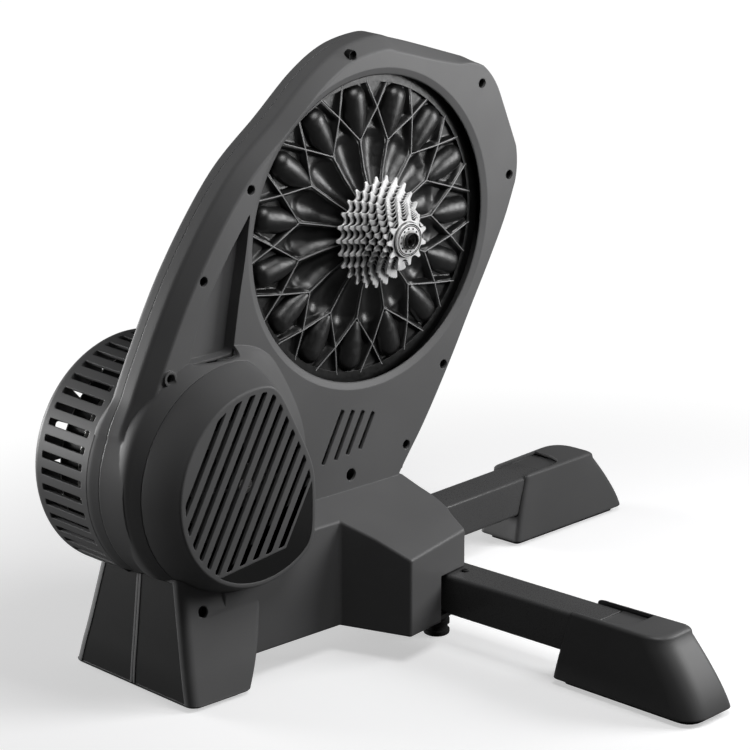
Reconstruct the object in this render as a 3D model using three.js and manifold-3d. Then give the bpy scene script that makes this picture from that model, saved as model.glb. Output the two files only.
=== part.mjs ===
// Direct drive bike trainer: two moulded half shells on a cast frame, a big belt pulley that carries the
// cassette, a flywheel in a slotted drum, and two folding legs.
// Millimetres. X points forward, Y to the left, Z up. The cassette is on the -Y side.
import * as THREE from "three";
import { mergeVertices } from "three/addons/utils/BufferGeometryUtils.js";
import Module from "manifold-3d";

const wasm = await Module();
wasm.setup();

// Fits shared by all pieces.
const fit = { gap: 0.4, running: 0.8, cutOver: 4, wall: 3 };
const count = { round: 48, small: 16, hole: 10, post: 6, belt: 16, outline: 64, dome: 40 };

// Hub axis, flywheel axis and the mould's parting plane.
const hub = {
  height: 389.5,
  axleRadius: 8.5,
  axleBore: 6.2,
  rightEnd: -63,
  leftEnd: 61,
  capWidth: 2.6,
  capRadius: 10,
  leftCapRadius: 12.5,
  spacerRadius: 12,
};
const flywheelAxis = { back: 196, below: 193 };
const seamY = 20;

// The disc-shaped body, relative to the hub axis.
const body = {
  rightFace: -11,
  slopeStart: 5,
  slopeWidth: 11,
  leftFace: 36,
  leftEdge: 31,
  leftEdgeWidth: 5,
  flareShare: 0.7,
  lowerRadius: 105,
};
// Places on the outline, forward and above the hub axis.
const outline = {
  rear: [[18, 179], [-24, 173], [-62, 154], [-106, 119], [-163, 73], [-221, -3], [-266, -86], [-290, -142]],
  bottomRear: -190,
  bottomFront: 10,
  bottomHeight: 99.5,
  front: [[37, -246], [70, -201], [103, -149], [131, -100], [155, -59], [176, -20], [190, 14]],
  frontBend: [194.5, 30],
  frontTop: [[191, 50], [179, 79], [169, 103]],
  topBend: [158, 130],
  top: [[132, 143], [67, 165]],
  topCrown: [38, 174],
};
const opening = { radius: 140.8, chamferRadius: 151.9, chamferDepth: 4.7, lipDepth: 3.2, lipRadius: 143 };

// Screw recesses on the rail, and the triangular pocket behind the rail.
const screws = {
  radius: 4.4,
  depth: 7,
  places: [[-21, 167.5], [143, 117.5], [181, 22.5], [94, -149.5], [45, -219.5], [-148, 63.5], [-205, -10.5], [-247, -91.5]],
};
const keyHole = { place: [-27, -233], radius: 6 };
const pocket = {
  floor: 2.5,
  corners: [[-149, 43], [-175, 9], [-198, -24], [-213, -52], [-224, -84], [-172, -84], [-164, -37], [-156, 1]],
};
const vents = {
  width: 5,
  tops: [[-37, -167], [-24, -170], [-11, -173], [2, -177]],
  bottoms: [[-63, -215], [-47, -214], [-32, -212], [-16, -210]],
};

// The dome over the brake on the drive side: rings of depth, middle, radius, and the front's two flats.
// The shell carries it up to the parting line, and the slotted cap goes on from there.
// Forward and up are from the flywheel axis to the ring's middle; front and slant are the flats' distances from it.
const dome = {
  slantAngle: 27.3,
  cornerPower: 16,
  face: { y: -68, forward: 6, up: 0.5, radius: 91.6, front: 64.5, slant: 59 },
  edge: { y: -66, forward: 6, up: 0.5, radius: 94.2, front: 67, slant: 61.5 },
  parting: { y: -27, forward: 10.5, up: -0.5, radius: 108.5, front: 76, slant: 73 },
  fillet: { y: -17, forward: 11.5, up: 0.5, radius: 113.5, front: 88, slant: 86 },
  foot: { y: -11, forward: 12, up: 1.5, radius: 115.5, front: 106, slant: 104 },
  root: { y: 0, forward: 12, up: 1.5, radius: 116, front: 112, slant: 110 },
};
const cover = {
  slotWidth: 6,
  slotPitch: 12.75,
  slotCount: 12,
  slotAngle: 60.7,
  slotMargin: 3.4,
  slotShift: 18.5,
  labelTop: -65,
};

// The slotted drum over the flywheel, on the left.
const drum = {
  radius: 111,
  end: 115,
  wall: 3,
  edge: 7,
  slotCount: 45,
  slotPhase: -2.8,
  slotWidth: 6.5,
  slotFrom: 43,
  slotTo: 100,
  faceSlots: 12,
  faceSlotFrom: 46,
  faceSlotTo: 88,
};

// Plinth under the flywheel: rings of [height, rear x, front x, half width].
const plinth = {
  rings: [[3, -272, -200, 85], [26, -270, -188, 79], [52, -267, -178, 72]],
  top: { belowAxis: 78.5, rear: -260, front: -160, half: 56 },
  corner: 7,
};
const plinthScrew = { x: -256, z: 94, radius: 5.6, depth: 8 };

// Lower beam and the hoods over the leg pivots, seen from above, for the drive side.
const beam = {
  bottom: 26,
  rear: -215,
  halfWidth: 65,
  hoodRearInner: -73,
  hoodRearOuter: [-46, 133],
  hoodFrontOuter: [38.5, 118.5],
  hoodFront: [46, 76],
  frontX: 40,
  corner: 8,
};
// The roof over the beam: half width from the parting plane and height.
const roof = { shoulder: [31, 142], crease: [99, 118], eave: [140, 99] };

const leg = {
  pivotX: 22.8,
  pivotOut: 27,
  rightAngle: -85.3,
  leftAngle: 4.2,
  barWidth: 40,
  barBottom: 31.3,
  barTop: 70.6,
  barWall: 2.5,
  barEndRadius: 19,
  boltRadius: 6,
  boltHeadRadius: 10,
  boltHeadHeight: 5,
  footStart: 226,
  barInFoot: 46,
  detentPlace: 99,
  detentRadius: 3.2,
  detentHeight: 2,
};
const foot = {
  length: 165.4,
  bottom: 5,
  top: 73.9,
  topStart: 16.8,
  topEnd: 44.2,
  halfTopInner: 23.5,
  halfTopOuter: 25.5,
  halfBottomInner: 26,
  halfBottomOuter: 31,
  rearCorner: 17,
  frontCorner: 5,
  slotLength: 61,
  recessDepth: 7,
  recessLength: 28,
  recessHalf: 17,
  padHeight: 5,
  padInset: 8,
};

const pulley = {
  petals: 15,
  levels: [
    [27, -14, -14, -14],
    [30, -11, -10, -9],
    [58, -5, 0, 3],
    [85, -2, 3, 7],
    [99, -5, -2, 6],
    [113, -7, 1, -2],
    [122, -7, 0, 3],
    [131, -3, -1, 4],
    [137, 2, 2, 2],
    [149, 2, 2, 2],
  ],
  rimRadius: 149,
  rimWall: 8,
  rimTo: 23,
  backY: 12,
  hubRadius: 27,
  hubFrom: -14,
  bearingRadius: 17.5,
  bearingWidth: 12,
};
const belt = { from: 6, to: 20, thickness: 3.5 };
const smallPulley = { radius: 17, flange: 3, flangeWidth: 2, bore: 8 };
const flywheel = {
  clearance: 10,
  rimWidth: 30,
  rimThickness: 20,
  webThickness: 10,
  center: 76,
  shaftRadius: 7.7,
  shaftFrom: -54,
  shaftTo: 104,
  hubRadius: 24,
  shellStep: 16,
  holes: 6,
  holeRadius: 14,
};
const brake = {
  discRadius: 62,
  discY: -46,
  discThickness: 3,
  blades: 8,
  bladeHeight: 7,
  hubRadius: 20,
  yokeGap: 2.5,
  coils: 6,
  coilRadius: 13,
  coilCircle: 44,
  coilHeight: 14,
  carrierBore: 26,
};

const sprockets = {
  teeth: [25, 23, 21, 19, 17, 16, 15, 14, 13, 12, 11],
  chainPitch: 12.7,
  rollerRadius: 3.95,
  tipFactor: 0.6,
  toothPoints: [[0, 0], [0.4, 1], [0.6, 1]],
  thickness: 1.7,
  pitch: 3.74,
  first: -19,
  spacerWall: 3,
};
const freehub = { radius: 16.6, splines: 9, splineDepth: 1.2, from: -16, bearingRadius: 13, bearingWidth: 8 };
const lockring = { radius: 15.8, thickness: 3, bore: 11, notches: 8, notchDepth: 1.8, notchWidth: 2 };
const inlet = { back: 24, front: 44, y: -3.4, z: -241, radius: 4.2, socket: 2.7, socketDepth: 11 };
const frame = {
  from: 25.5,
  to: 31,
  bossTo: 46,
  hubBoss: 26,
  flyBoss: 24,
  bearingRadius: 16,
  bearingWidth: 7,
  outline: [[30, 38, 30], [-34, 30, 26], [-224, -168, 30], [-232, -226, 24], [-146, -313.5, 8], [22, -313.5, 8], [36, -60, 30]],
  windows: [
    [[-40, -18, 8], [-150, -132, 10], [-118, -190, 12], [-26, -110, 12]],
    [[-150, -218, 10], [-128, -296, 8], [-20, -296, 8], [-22, -150, 12], [-100, -214, 14]],
  ],
};
const plates = { thickness: 4, rear: -140, upperHalf: 61 };
const hoodFoot = { x: 27, y: -72, radius: 12.5, grip: 10.5, ribs: 2 };
const plinthPad = { rear: -262, front: -208, outer: 78, inner: 46, corner: 5 };
const board = { x: 56, z: -84, width: 50, height: 64, thickness: 1.8, y: 24.6, post: 3 };

const hubPoint = new THREE.Vector3(0, 0, hub.height);
const flyX = -flywheelAxis.back;
const flyZ = hub.height - flywheelAxis.below;

// Solids from three.js geometries, and back.
function solid(geometry) {
  const plain = geometry.index ? geometry.clone() : geometry;
  for (const name of Object.keys(plain.attributes)) if (name !== "position") plain.deleteAttribute(name);
  const merged = mergeVertices(plain, 1e-4);
  const made = new wasm.Manifold(
    new wasm.Mesh({
      numProp: 3,
      vertProperties: new Float32Array(merged.attributes.position.array),
      triVerts: new Uint32Array(merged.index.array),
    }),
  );
  return made;
}
function geometryOf(made) {
  const mesh = made.getMesh();
  const positions = new Float32Array(mesh.numVert * 3);
  for (let i = 0; i < mesh.numVert; i++)
    positions.set(mesh.vertProperties.subarray(i * mesh.numProp, i * mesh.numProp + 3), i * 3);
  return new THREE.BufferGeometry()
    .setAttribute("position", new THREE.BufferAttribute(positions, 3))
    .setIndex(new THREE.BufferAttribute(mesh.triVerts, 1));
}
const join = (...solids) => solids.reduce((a, b) => a.add(b));
const cut = (base, ...tools) => tools.reduce((a, b) => a.subtract(b), base);

// A solid skinned over rings of equal point count, closed at each end by a fan about the ring's middle.
function loft(rings) {
  const n = rings[0].length;
  const middles = [rings[0], rings.at(-1)].map((ring) =>
    ring.reduce((sum, p) => sum.add(p), new THREE.Vector3()).divideScalar(n),
  );
  const positions = [...rings.flat(), ...middles].flatMap((p) => [p.x, p.y, p.z]);
  const index = [];
  const last = rings.length - 1;
  for (let i = 0; i < n; i++) {
    const j = (i + 1) % n;
    for (let r = 0; r < last; r++) {
      const [a, b, c, d] = [r * n + i, r * n + j, (r + 1) * n + j, (r + 1) * n + i];
      index.push(a, b, c, a, c, d);
    }
    index.push(j, i, rings.length * n);
    index.push(last * n + i, last * n + j, rings.length * n + 1);
  }
  if (signedVolume(positions, index) < 0) index.reverse();
  return new THREE.BufferGeometry()
    .setAttribute("position", new THREE.Float32BufferAttribute(positions, 3))
    .setIndex(index);
}
function signedVolume(positions, index) {
  const at = (i) => new THREE.Vector3().fromArray(positions, index[i] * 3);
  let sum = 0;
  for (let i = 0; i < index.length; i += 3) sum += at(i).dot(at(i + 1).cross(at(i + 2)));
  return sum;
}

const shapeOf = (points) => new THREE.Shape(points.map((p) => new THREE.Vector2(...p)));
const rad = THREE.MathUtils.degToRad;

// A plate whose outline lies in XZ, between two Y planes.
function plate(shape, fromY, toY, curveSegments = count.small) {
  return new THREE.ExtrudeGeometry(shape, { depth: toY - fromY, bevelEnabled: false, curveSegments })
    .rotateX(Math.PI / 2)
    .translate(0, toY, 0);
}
// A prism whose outline lies in XY, between two heights.
function prism(shape, fromZ, toZ, curveSegments = count.small) {
  return new THREE.ExtrudeGeometry(shape, { depth: toZ - fromZ, bevelEnabled: false, curveSegments })
    .translate(0, 0, fromZ);
}
// A bar along X whose outline lies in YZ.
function bar(shape, fromX, toX) {
  return new THREE.ExtrudeGeometry(shape, { depth: toX - fromX, bevelEnabled: false })
    .rotateX(Math.PI / 2)
    .rotateZ(Math.PI / 2)
    .translate(fromX, 0, 0);
}
// A turned piece about the Y axis: pairs of [radius, y].
function turned(profile, segments = count.round) {
  const points = profile.map((p) => new THREE.Vector2(...p));
  if (THREE.ShapeUtils.area(points) < 0) points.reverse();
  return new THREE.LatheGeometry([...points, points[0]], segments);
}
const disc = (radius, fromY, toY, segments = count.round) =>
  new THREE.CylinderGeometry(radius, radius, toY - fromY, segments).translate(0, (fromY + toY) / 2, 0);
const post = (radius, fromZ, toZ, segments = count.small) =>
  new THREE.CylinderGeometry(radius, radius, toZ - fromZ, segments)
    .rotateX(Math.PI / 2)
    .translate(0, 0, (fromZ + toZ) / 2);
const ringOf = (outer, inner, fromY, toY, segments = count.round) =>
  turned([[outer, fromY], [outer, toY], [inner, toY], [inner, fromY]], segments);
const boxOf = (x0, x1, y0, y1, z0, z1) =>
  new THREE.BoxGeometry(x1 - x0, y1 - y0, z1 - z0).translate((x0 + x1) / 2, (y0 + y1) / 2, (z0 + z1) / 2);

// A closed outline with each corner rounded by its own radius: corners are [x, y, radius].
function rounded(corners) {
  const path = new THREE.Shape();
  const n = corners.length;
  corners.forEach(([x, y, r], i) => {
    const here = new THREE.Vector2(x, y);
    const before = new THREE.Vector2(...corners[(i + n - 1) % n]);
    const after = new THREE.Vector2(...corners[(i + 1) % n]);
    const start = here.clone().add(before.sub(here).setLength(r || 0));
    const end = here.clone().add(after.sub(here).setLength(r || 0));
    if (i === 0) path.moveTo(start.x, start.y);
    else path.lineTo(start.x, start.y);
    if (r) path.quadraticCurveTo(here.x, here.y, end.x, end.y);
  });
  path.closePath();
  return path;
}
// Moves each point of a closed outline inwards along its normal.
function inset(points, distance) {
  const n = points.length;
  return points.map((p, i) => {
    const tangent = points[(i + 1) % n].clone().sub(points[(i + n - 1) % n]).normalize();
    const d = typeof distance === "function" ? distance(p) : distance;
    return new THREE.Vector2(p.x - tangent.y * d, p.y + tangent.x * d);
  });
}

// The disc body's outline in XZ about the hub axis, counter-clockwise from the crown.
const bodyPoints = (() => {
  const path = new THREE.Shape();
  const first = outline.topCrown;
  path.moveTo(...first);
  path.splineThru(outline.rear.map((p) => new THREE.Vector2(...p)));
  path.absarc(flyX, -flywheelAxis.below, body.lowerRadius, Math.PI * 0.85, Math.PI * 1.5, false);
  path.lineTo(outline.bottomRear, outline.bottomHeight - hub.height);
  path.lineTo(outline.bottomFront, outline.bottomHeight - hub.height);
  path.splineThru(outline.front.map((p) => new THREE.Vector2(...p)));
  path.quadraticCurveTo(...outline.frontBend, ...outline.frontTop[0]);
  path.splineThru(outline.frontTop.slice(1).map((p) => new THREE.Vector2(...p)));
  path.quadraticCurveTo(...outline.topBend, ...outline.top[0]);
  path.splineThru([outline.top[1], outline.topCrown].map((p) => new THREE.Vector2(...p)));
  const points = path.getSpacedPoints(count.outline);
  points.pop();
  return points;
})();
// The slope round the face dies out past the top front bend.
const slopeShare = (p) => {
  const side = THREE.MathUtils.smoothstep(p.x, outline.top[1][0], outline.topBend[0] + body.slopeWidth);
  const front = p.x > 0 && p.y < outline.top[0][1];
  return front ? 0 : 1 - side * (p.y < outline.topBend[1] ? 1 : 0.6);
};
const ringY = (points, y, z = hub.height) => points.map((p) => new THREE.Vector3(p.x, y, p.y + z));

// Where the outline runs round the drum, the left half flares out to it.
const roundDrum = (p) => {
  const away = Math.hypot(p.x - flyX, p.y + flywheelAxis.below);
  return 1 - THREE.MathUtils.smoothstep(away, body.lowerRadius + fit.gap, body.lowerRadius + body.slopeWidth);
};

function discHalf(right, wall) {
  const outer = inset(bodyPoints, wall);
  if (right)
    return solid(
      loft([
        ringY(outer, seamY),
        ringY(outer, body.slopeStart + wall / 2),
        ringY(inset(bodyPoints, (p) => wall + body.slopeWidth * slopeShare(p)), body.rightFace + wall),
      ]),
    );
  const flare = drum.radius - body.lowerRadius;
  const edge = (p) => wall - flare * roundDrum(p) * body.flareShare;
  const face = (p) => wall + body.leftEdgeWidth - (flare + body.leftEdgeWidth) * roundDrum(p);
  return solid(
    loft([
      ringY(outer, seamY),
      ringY(inset(bodyPoints, edge), body.leftEdge - wall),
      ringY(inset(bodyPoints, face), body.leftFace - wall),
    ]),
  );
}

// One ring of the dome, moved inwards by a wall: a circle with two flats at the front.
function domeRing(ring, wall, y = ring.y) {
  const n = count.dome;
  return Array.from({ length: n }, (_, i) => {
    const angle = (i / n) * Math.PI * 2;
    const terms = [
      [1, ring.radius - wall],
      [Math.max(Math.cos(angle), 0), ring.front - wall],
      [Math.max(Math.cos(angle - rad(dome.slantAngle)), 0), ring.slant - wall],
    ];
    const sum = terms.reduce((s, [share, d]) => s + (share / d) ** dome.cornerPower, 0);
    const r = sum ** (-1 / dome.cornerPower);
    return new THREE.Vector3(flyX + ring.forward + r * Math.cos(angle), y, flyZ + ring.up + r * Math.sin(angle));
  });
}
const shoulder = (wall) => {
  const rings = [dome.parting, dome.fillet, dome.foot, dome.root];
  return solid(loft(rings.map((ring) => domeRing(ring, wall))));
};

function plinthHalf(right, wall) {
  const { belowAxis, rear, front, half: topHalf } = plinth.top;
  const rings = [...plinth.rings, [flyZ - belowAxis, rear, front, topHalf]].map(([z, x0, x1, half], i) => {
    const outer = seamY + (right ? -1 : 1) * (half - wall);
    const corners = [
      [x0 + wall, seamY, 0],
      [x0 + wall, outer, plinth.corner],
      [x1 - wall, outer, plinth.corner],
      [x1 - wall, seamY, 0],
    ];
    const height = i === 0 && wall ? z + wall : z;
    return rounded(corners).getPoints(6).slice(0, -1).map((p) => new THREE.Vector3(p.x, p.y, height));
  });
  return solid(loft(rings));
}

// Half the outline of beam and hood from above, with corner radii.
function beamCorners(wall) {
  const c = beam.corner;
  return [
    [beam.rear + wall, 0, 0],
    [beam.rear + wall, beam.halfWidth - wall, 0],
    [beam.hoodRearInner + wall, beam.halfWidth - wall, c],
    [beam.hoodRearOuter[0] + wall, beam.hoodRearOuter[1] - wall, c],
    [beam.hoodFrontOuter[0] - wall, beam.hoodFrontOuter[1] - wall, c],
    [beam.hoodFront[0] - wall, beam.hoodFront[1], c * 2],
    [beam.frontX - wall, 0, 0],
  ];
}
// Beam and hood: the outline kept under the roof.
function beamHalf(right, wall) {
  const side = right ? -1 : 1;
  const corners = beamCorners(wall).map(([x, y, r]) => [x, seamY + side * y, r]);
  const column = prism(rounded(corners), wall ? 0 : beam.bottom, hub.height, 4);
  const profile = [
    [0, 0],
    [0, roof.shoulder[1] - wall],
    [roof.shoulder[0], roof.shoulder[1] - wall],
    [roof.crease[0], roof.crease[1] - wall],
    [roof.eave[0], roof.eave[1] - wall],
    [roof.eave[0], 0],
  ].map(([y, z]) => [seamY + side * y, z]);
  const over = fit.cutOver;
  return solid(column).intersect(solid(bar(shapeOf(profile), beam.rear - over, beam.frontX + over)));
}

// A slanted slot through the drive side face: a bar between two places.
function slotBar(from, to, width, y0, y1) {
  const a = new THREE.Vector2(...from);
  const b = new THREE.Vector2(...to);
  const side = b.clone().sub(a).normalize().rotateAround(new THREE.Vector2(), Math.PI / 2).multiplyScalar(width / 2);
  const corners = [a.clone().add(side), a.clone().sub(side), b.clone().sub(side), b.clone().add(side)];
  return solid(plate(new THREE.Shape(corners), y0, y1));
}
const atHub = (made) => made.translate([0, 0, hub.height]);

// What the legs need free under each hood, from the open to the folded position.
function legRoom(right) {
  const side = right ? -1 : 1;
  const half = leg.barWidth / 2 + fit.running * 2;
  const y = seamY + side * leg.pivotOut;
  const reach = beam.hoodRearOuter[1] + fit.cutOver;
  const swept = [
    [leg.pivotX - half, y - side * half],
    [beam.frontX + half, y - side * half],
    [beam.frontX + half, seamY + side * reach],
    [leg.pivotX - half - fit.running, seamY + side * reach],
  ];
  return solid(prism(shapeOf(swept), 0, leg.barTop + fit.running * 3));
}

function sideShell(right) {
  const outerParts = [discHalf(right, 0), plinthHalf(right, 0), beamHalf(right, 0)];
  const innerParts = [discHalf(right, fit.wall), plinthHalf(right, fit.wall), beamHalf(right, fit.wall)];
  if (right) {
    outerParts.push(shoulder(0));
    innerParts.push(shoulder(fit.wall));
  }
  const split = right ? seamY - fit.gap / 2 : seamY + fit.gap / 2;
  const far = hub.height;
  const keep = right ? boxOf(-far * 2, far * 2, -far, split, 0, far * 2) : boxOf(-far * 2, far * 2, split, far, 0, far * 2);
  let shell = join(...outerParts).intersect(solid(keep));
  const hollow = join(...innerParts).add(
    solid(boxOf(beam.rear, beam.frontX - fit.wall, split - fit.wall, split + fit.wall, 0, roof.shoulder[1] - fit.wall)),
  );
  shell = cut(shell, hollow, legRoom(right));
  const over = fit.cutOver;
  shell = cut(shell, alongX(inlet.radius + fit.gap, inlet.back, inlet.front + over));
  if (!right) {
    const boss = hub.spacerRadius + fit.running;
    return cut(
      shell,
      atHub(solid(disc(boss, seamY, body.leftFace + over, count.small))),
      solid(disc(drum.radius - drum.wall - flywheel.shellStep, seamY - over, body.leftFace + over)).translate([flyX, 0, flyZ]),
      solid(disc(drum.radius + fit.gap, body.leftFace, drum.end)).translate([flyX, 0, flyZ]),
    );
  }
  const front = body.rightFace - over;
  const chamfer = turned([
    [0, front],
    [opening.chamferRadius, front],
    [opening.chamferRadius, body.rightFace],
    [opening.radius, body.rightFace + opening.chamferDepth],
    [opening.radius, seamY],
    [0, seamY],
  ]);
  shell = cut(shell, atHub(solid(chamfer)));
  const hole = ([x, z], radius, depth) =>
    solid(disc(radius, front, body.rightFace + depth, count.hole)).translate([x, 0, z + hub.height]);
  for (const place of screws.places) shell = bossed(shell, place, hole);
  shell = cut(shell, hole(keyHole.place, keyHole.radius, fit.wall + over));
  vents.tops.forEach((top, i) => {
    shell = cut(shell, atHub(slotBar(top, vents.bottoms[i], vents.width, front, body.rightFace + fit.wall + over)));
  });
  const mouth = [dome.parting.y - fit.gap, dome.parting.y + fit.gap].map((y) => domeRing(dome.parting, fit.wall, y));
  const underCap = [domeRing(dome.face, -fit.gap), domeRing(dome.edge, -fit.gap), domeRing(dome.parting, -fit.gap)];
  return pocketed(cut(shell, solid(loft(mouth)), solid(loft(underCap))));
}
// A blind recess: a post of material behind the face, with the hole in it.
function bossed(shell, place, hole) {
  const post = solid(disc(screws.radius + fit.wall * 0.8, body.rightFace + fit.wall / 2, seamY - fit.gap, count.post))
    .translate([place[0], 0, place[1] + hub.height]);
  return cut(shell.add(post), hole(place, screws.radius, screws.depth));
}
function pocketed(shell) {
  const points = pocket.corners.map(([x, z]) => new THREE.Vector2(x, z));
  const grown = inset(points, -fit.wall);
  const at = (list, y0, y1) => solid(loft([ringY(list, y0), ringY(list, y1)]));
  const box = at(grown, body.rightFace + fit.wall / 2, pocket.floor + fit.wall);
  return cut(shell.add(box), at(points, body.rightFace - fit.cutOver, pocket.floor));
}

// The cap over the brake: a cup with slanted slots in its face, above a bare label field.
function ventCover() {
  const top = dome.parting.y - fit.gap;
  const { wall, cutOver: over } = fit;
  const outer = [domeRing(dome.face, 0), domeRing(dome.edge, 0), domeRing(dome.parting, 0, top)];
  const inner = [domeRing(dome.edge, wall, dome.face.y + wall), domeRing(dome.parting, wall, top), domeRing(dome.parting, wall, top + over)];
  const field = domeRing(dome.face, cover.slotMargin).map((p) => p.setZ(Math.max(p.z, flyZ + dome.face.up + cover.labelTop)));
  const zone = solid(loft([-over, over].map((dy) => field.map((p) => p.clone().setY(dome.face.y + dy)))));
  const along = new THREE.Vector2(Math.cos(rad(cover.slotAngle)), Math.sin(rad(cover.slotAngle)));
  const across = new THREE.Vector2(-along.y, along.x);
  const bars = Array.from({ length: cover.slotCount }, (_, i) => {
    const offset = (i - (cover.slotCount - 1) / 2) * cover.slotPitch + cover.slotShift;
    const ends = [1, -1].map((side) => across.clone().multiplyScalar(offset).addScaledVector(along, side * dome.face.radius * 2));
    return slotBar(...ends.map((p) => p.toArray()), cover.slotWidth, dome.face.y - over, dome.face.y + over)
      .translate([flyX + dome.face.forward, 0, flyZ + dome.face.up]);
  });
  return cut(solid(loft(outer)), solid(loft(inner)), join(...bars).intersect(zone));
}

function drumCover() {
  const from = body.leftFace + fit.gap;
  const inner = drum.radius - drum.wall;
  const profile = [
    [inner, from],
    [drum.radius, from],
    [drum.radius, drum.end - drum.edge],
    [drum.radius - drum.edge, drum.end],
    [0, drum.end],
    [0, drum.end - drum.wall],
    [inner - drum.edge, drum.end - drum.wall],
    [inner, drum.end - drum.wall - drum.edge],
  ];
  let made = solid(turned(profile));
  for (let i = 0; i < drum.slotCount; i++) {
    const angle = (i / drum.slotCount) * 360 + drum.slotPhase;
    const slot = boxOf(inner - drum.wall, drum.radius + drum.wall, drum.slotFrom, drum.slotTo, -drum.slotWidth / 2, drum.slotWidth / 2);
    made = made.subtract(solid(slot).rotate([0, angle, 0]));
  }
  for (let i = 0; i < drum.faceSlots; i++) {
    const angle = ((i + 0.5) / drum.faceSlots) * 360;
    const slot = boxOf(drum.faceSlotFrom, drum.faceSlotTo, drum.end - drum.wall * 2, drum.end + drum.wall, -drum.slotWidth / 2, drum.slotWidth / 2);
    made = made.subtract(solid(slot).rotate([0, angle, 0]));
  }
  return made;
}

// The rosette pulley: thin ridges run out to fifteen forks, cross half-way between them and reach the rim.
// A round petal lies outside each fork, and a hollow kite between two forks.
// Each level is a radius with the heights on the fork's line, beside it, and half-way to the next.
function rosettePulley() {
  const around = pulley.petals * 4;
  const ring = (r, heights) =>
    Array.from({ length: around }, (_, k) => {
      const angle = (k / around) * Math.PI * 2;
      return new THREE.Vector3(r * Math.sin(angle), heights[Math.min(k % 4, 4 - (k % 4))], r * Math.cos(angle));
    });
  const front = pulley.levels.map(([r, ...heights]) => ring(r, heights));
  const flat = (r, y) => ring(r, [y, y, y]);
  const back = [
    flat(pulley.rimRadius, pulley.rimTo),
    flat(pulley.rimRadius - pulley.rimWall, pulley.rimTo),
    flat(pulley.rimRadius - pulley.rimWall, pulley.backY),
    flat(pulley.hubRadius, pulley.backY),
    flat(pulley.hubRadius, pulley.rimTo),
  ];
  const bore = disc(pulley.bearingRadius, pulley.hubFrom - fit.cutOver, pulley.rimTo + fit.cutOver);
  return cut(solid(loft([...front, ...back])), solid(bore));
}

const material = (color, roughness, metalness = 0) => new THREE.MeshStandardMaterial({ color, roughness, metalness });
const looks = {
  shell: material(0x5b5b5c, 0.55),
  black: material(0x1b1b1c, 0.45),
  gloss: material(0x0c0c0d, 0.2),
  steel: material(0xc9c9cb, 0.28, 1),
  alloy: material(0xa9abae, 0.4, 1),
  bar: material(0x2b2b2d, 0.35, 0.6),
  rubber: material(0x161616, 0.9),
  board: material(0x17402a, 0.6),
};
function mesh(name, made, look) {
  const geometry = made.isBufferGeometry ? made : geometryOf(made);
  const item = new THREE.Mesh(geometry, look);
  item.name = name;
  return item;
}


// The round power inlet in the front edge.
const alongX = (radius, x0, x1) =>
  solid(new THREE.CylinderGeometry(radius, radius, x1 - x0, count.small).rotateZ(Math.PI / 2))
    .translate([(x0 + x1) / 2, inlet.y, inlet.z + hub.height]);
function powerInlet() {
  const over = fit.cutOver;
  const socket = alongX(inlet.socket, inlet.front - inlet.socketDepth, inlet.front + over);
  return cut(alongX(inlet.radius, inlet.back, inlet.front), socket);
}

// Sprocket with its spacer collar towards the next smaller one.
function sprocket(teeth, index) {
  const pitchRadius = sprockets.chainPitch / 2 / Math.sin(Math.PI / teeth);
  const tip = sprockets.chainPitch / 2 * (sprockets.tipFactor + 1 / Math.tan(Math.PI / teeth));
  const root = pitchRadius - sprockets.rollerRadius;
  const outline = Array.from({ length: teeth * sprockets.toothPoints.length }, (_, k) => {
    const [share, height] = sprockets.toothPoints[k % sprockets.toothPoints.length];
    const angle = ((Math.floor(k / sprockets.toothPoints.length) + share) / teeth) * Math.PI * 2;
    const r = root + (tip - root) * height;
    return new THREE.Vector2(r * Math.cos(angle), r * Math.sin(angle));
  });
  const shape = new THREE.Shape(outline);
  shape.holes.push(new THREE.Path().absarc(0, 0, freehub.radius + fit.gap, 0, Math.PI * 2, true));
  const back = sprockets.first - index * sprockets.pitch;
  const front = back - sprockets.thickness;
  const disk = solid(plate(shape, front, back, count.small / 2));
  if (index === sprockets.teeth.length - 1) return disk;
  const next = back - sprockets.pitch + fit.gap;
  const inner = freehub.radius + fit.gap;
  return disk.add(solid(ringOf(inner + sprockets.spacerWall, inner, next, (front + back) / 2, count.small)));
}
function freehubBody() {
  const end = sprockets.first - (sprockets.teeth.length - 1) * sprockets.pitch - sprockets.thickness;
  const n = freehub.splines * 4;
  const shape = new THREE.Shape(
    Array.from({ length: n }, (_, k) => {
      const angle = (k / n) * Math.PI * 2;
      const r = freehub.radius - (k % 4 < 2 ? 0 : freehub.splineDepth);
      return new THREE.Vector2(r * Math.cos(angle), r * Math.sin(angle));
    }),
  );
  shape.holes.push(new THREE.Path().absarc(0, 0, freehub.bearingRadius + fit.gap, 0, Math.PI * 2, true));
  return solid(plate(shape, end, freehub.from, count.small / 2));
}
function lockRing(end) {
  const teeth = Array.from({ length: lockring.notches }, (_, k) =>
    solid(boxOf(lockring.bore - fit.gap, lockring.bore + lockring.notchDepth, -lockring.notchWidth / 2,
      lockring.notchWidth / 2, -lockring.notchWidth / 2, lockring.notchWidth / 2))
      .translate([0, end - lockring.thickness, 0])
      .rotate([0, (k / lockring.notches) * 360, 0]),
  );
  return cut(solid(ringOf(lockring.radius, lockring.bore, end - lockring.thickness, end, count.round / 2)), ...teeth);
}

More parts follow.
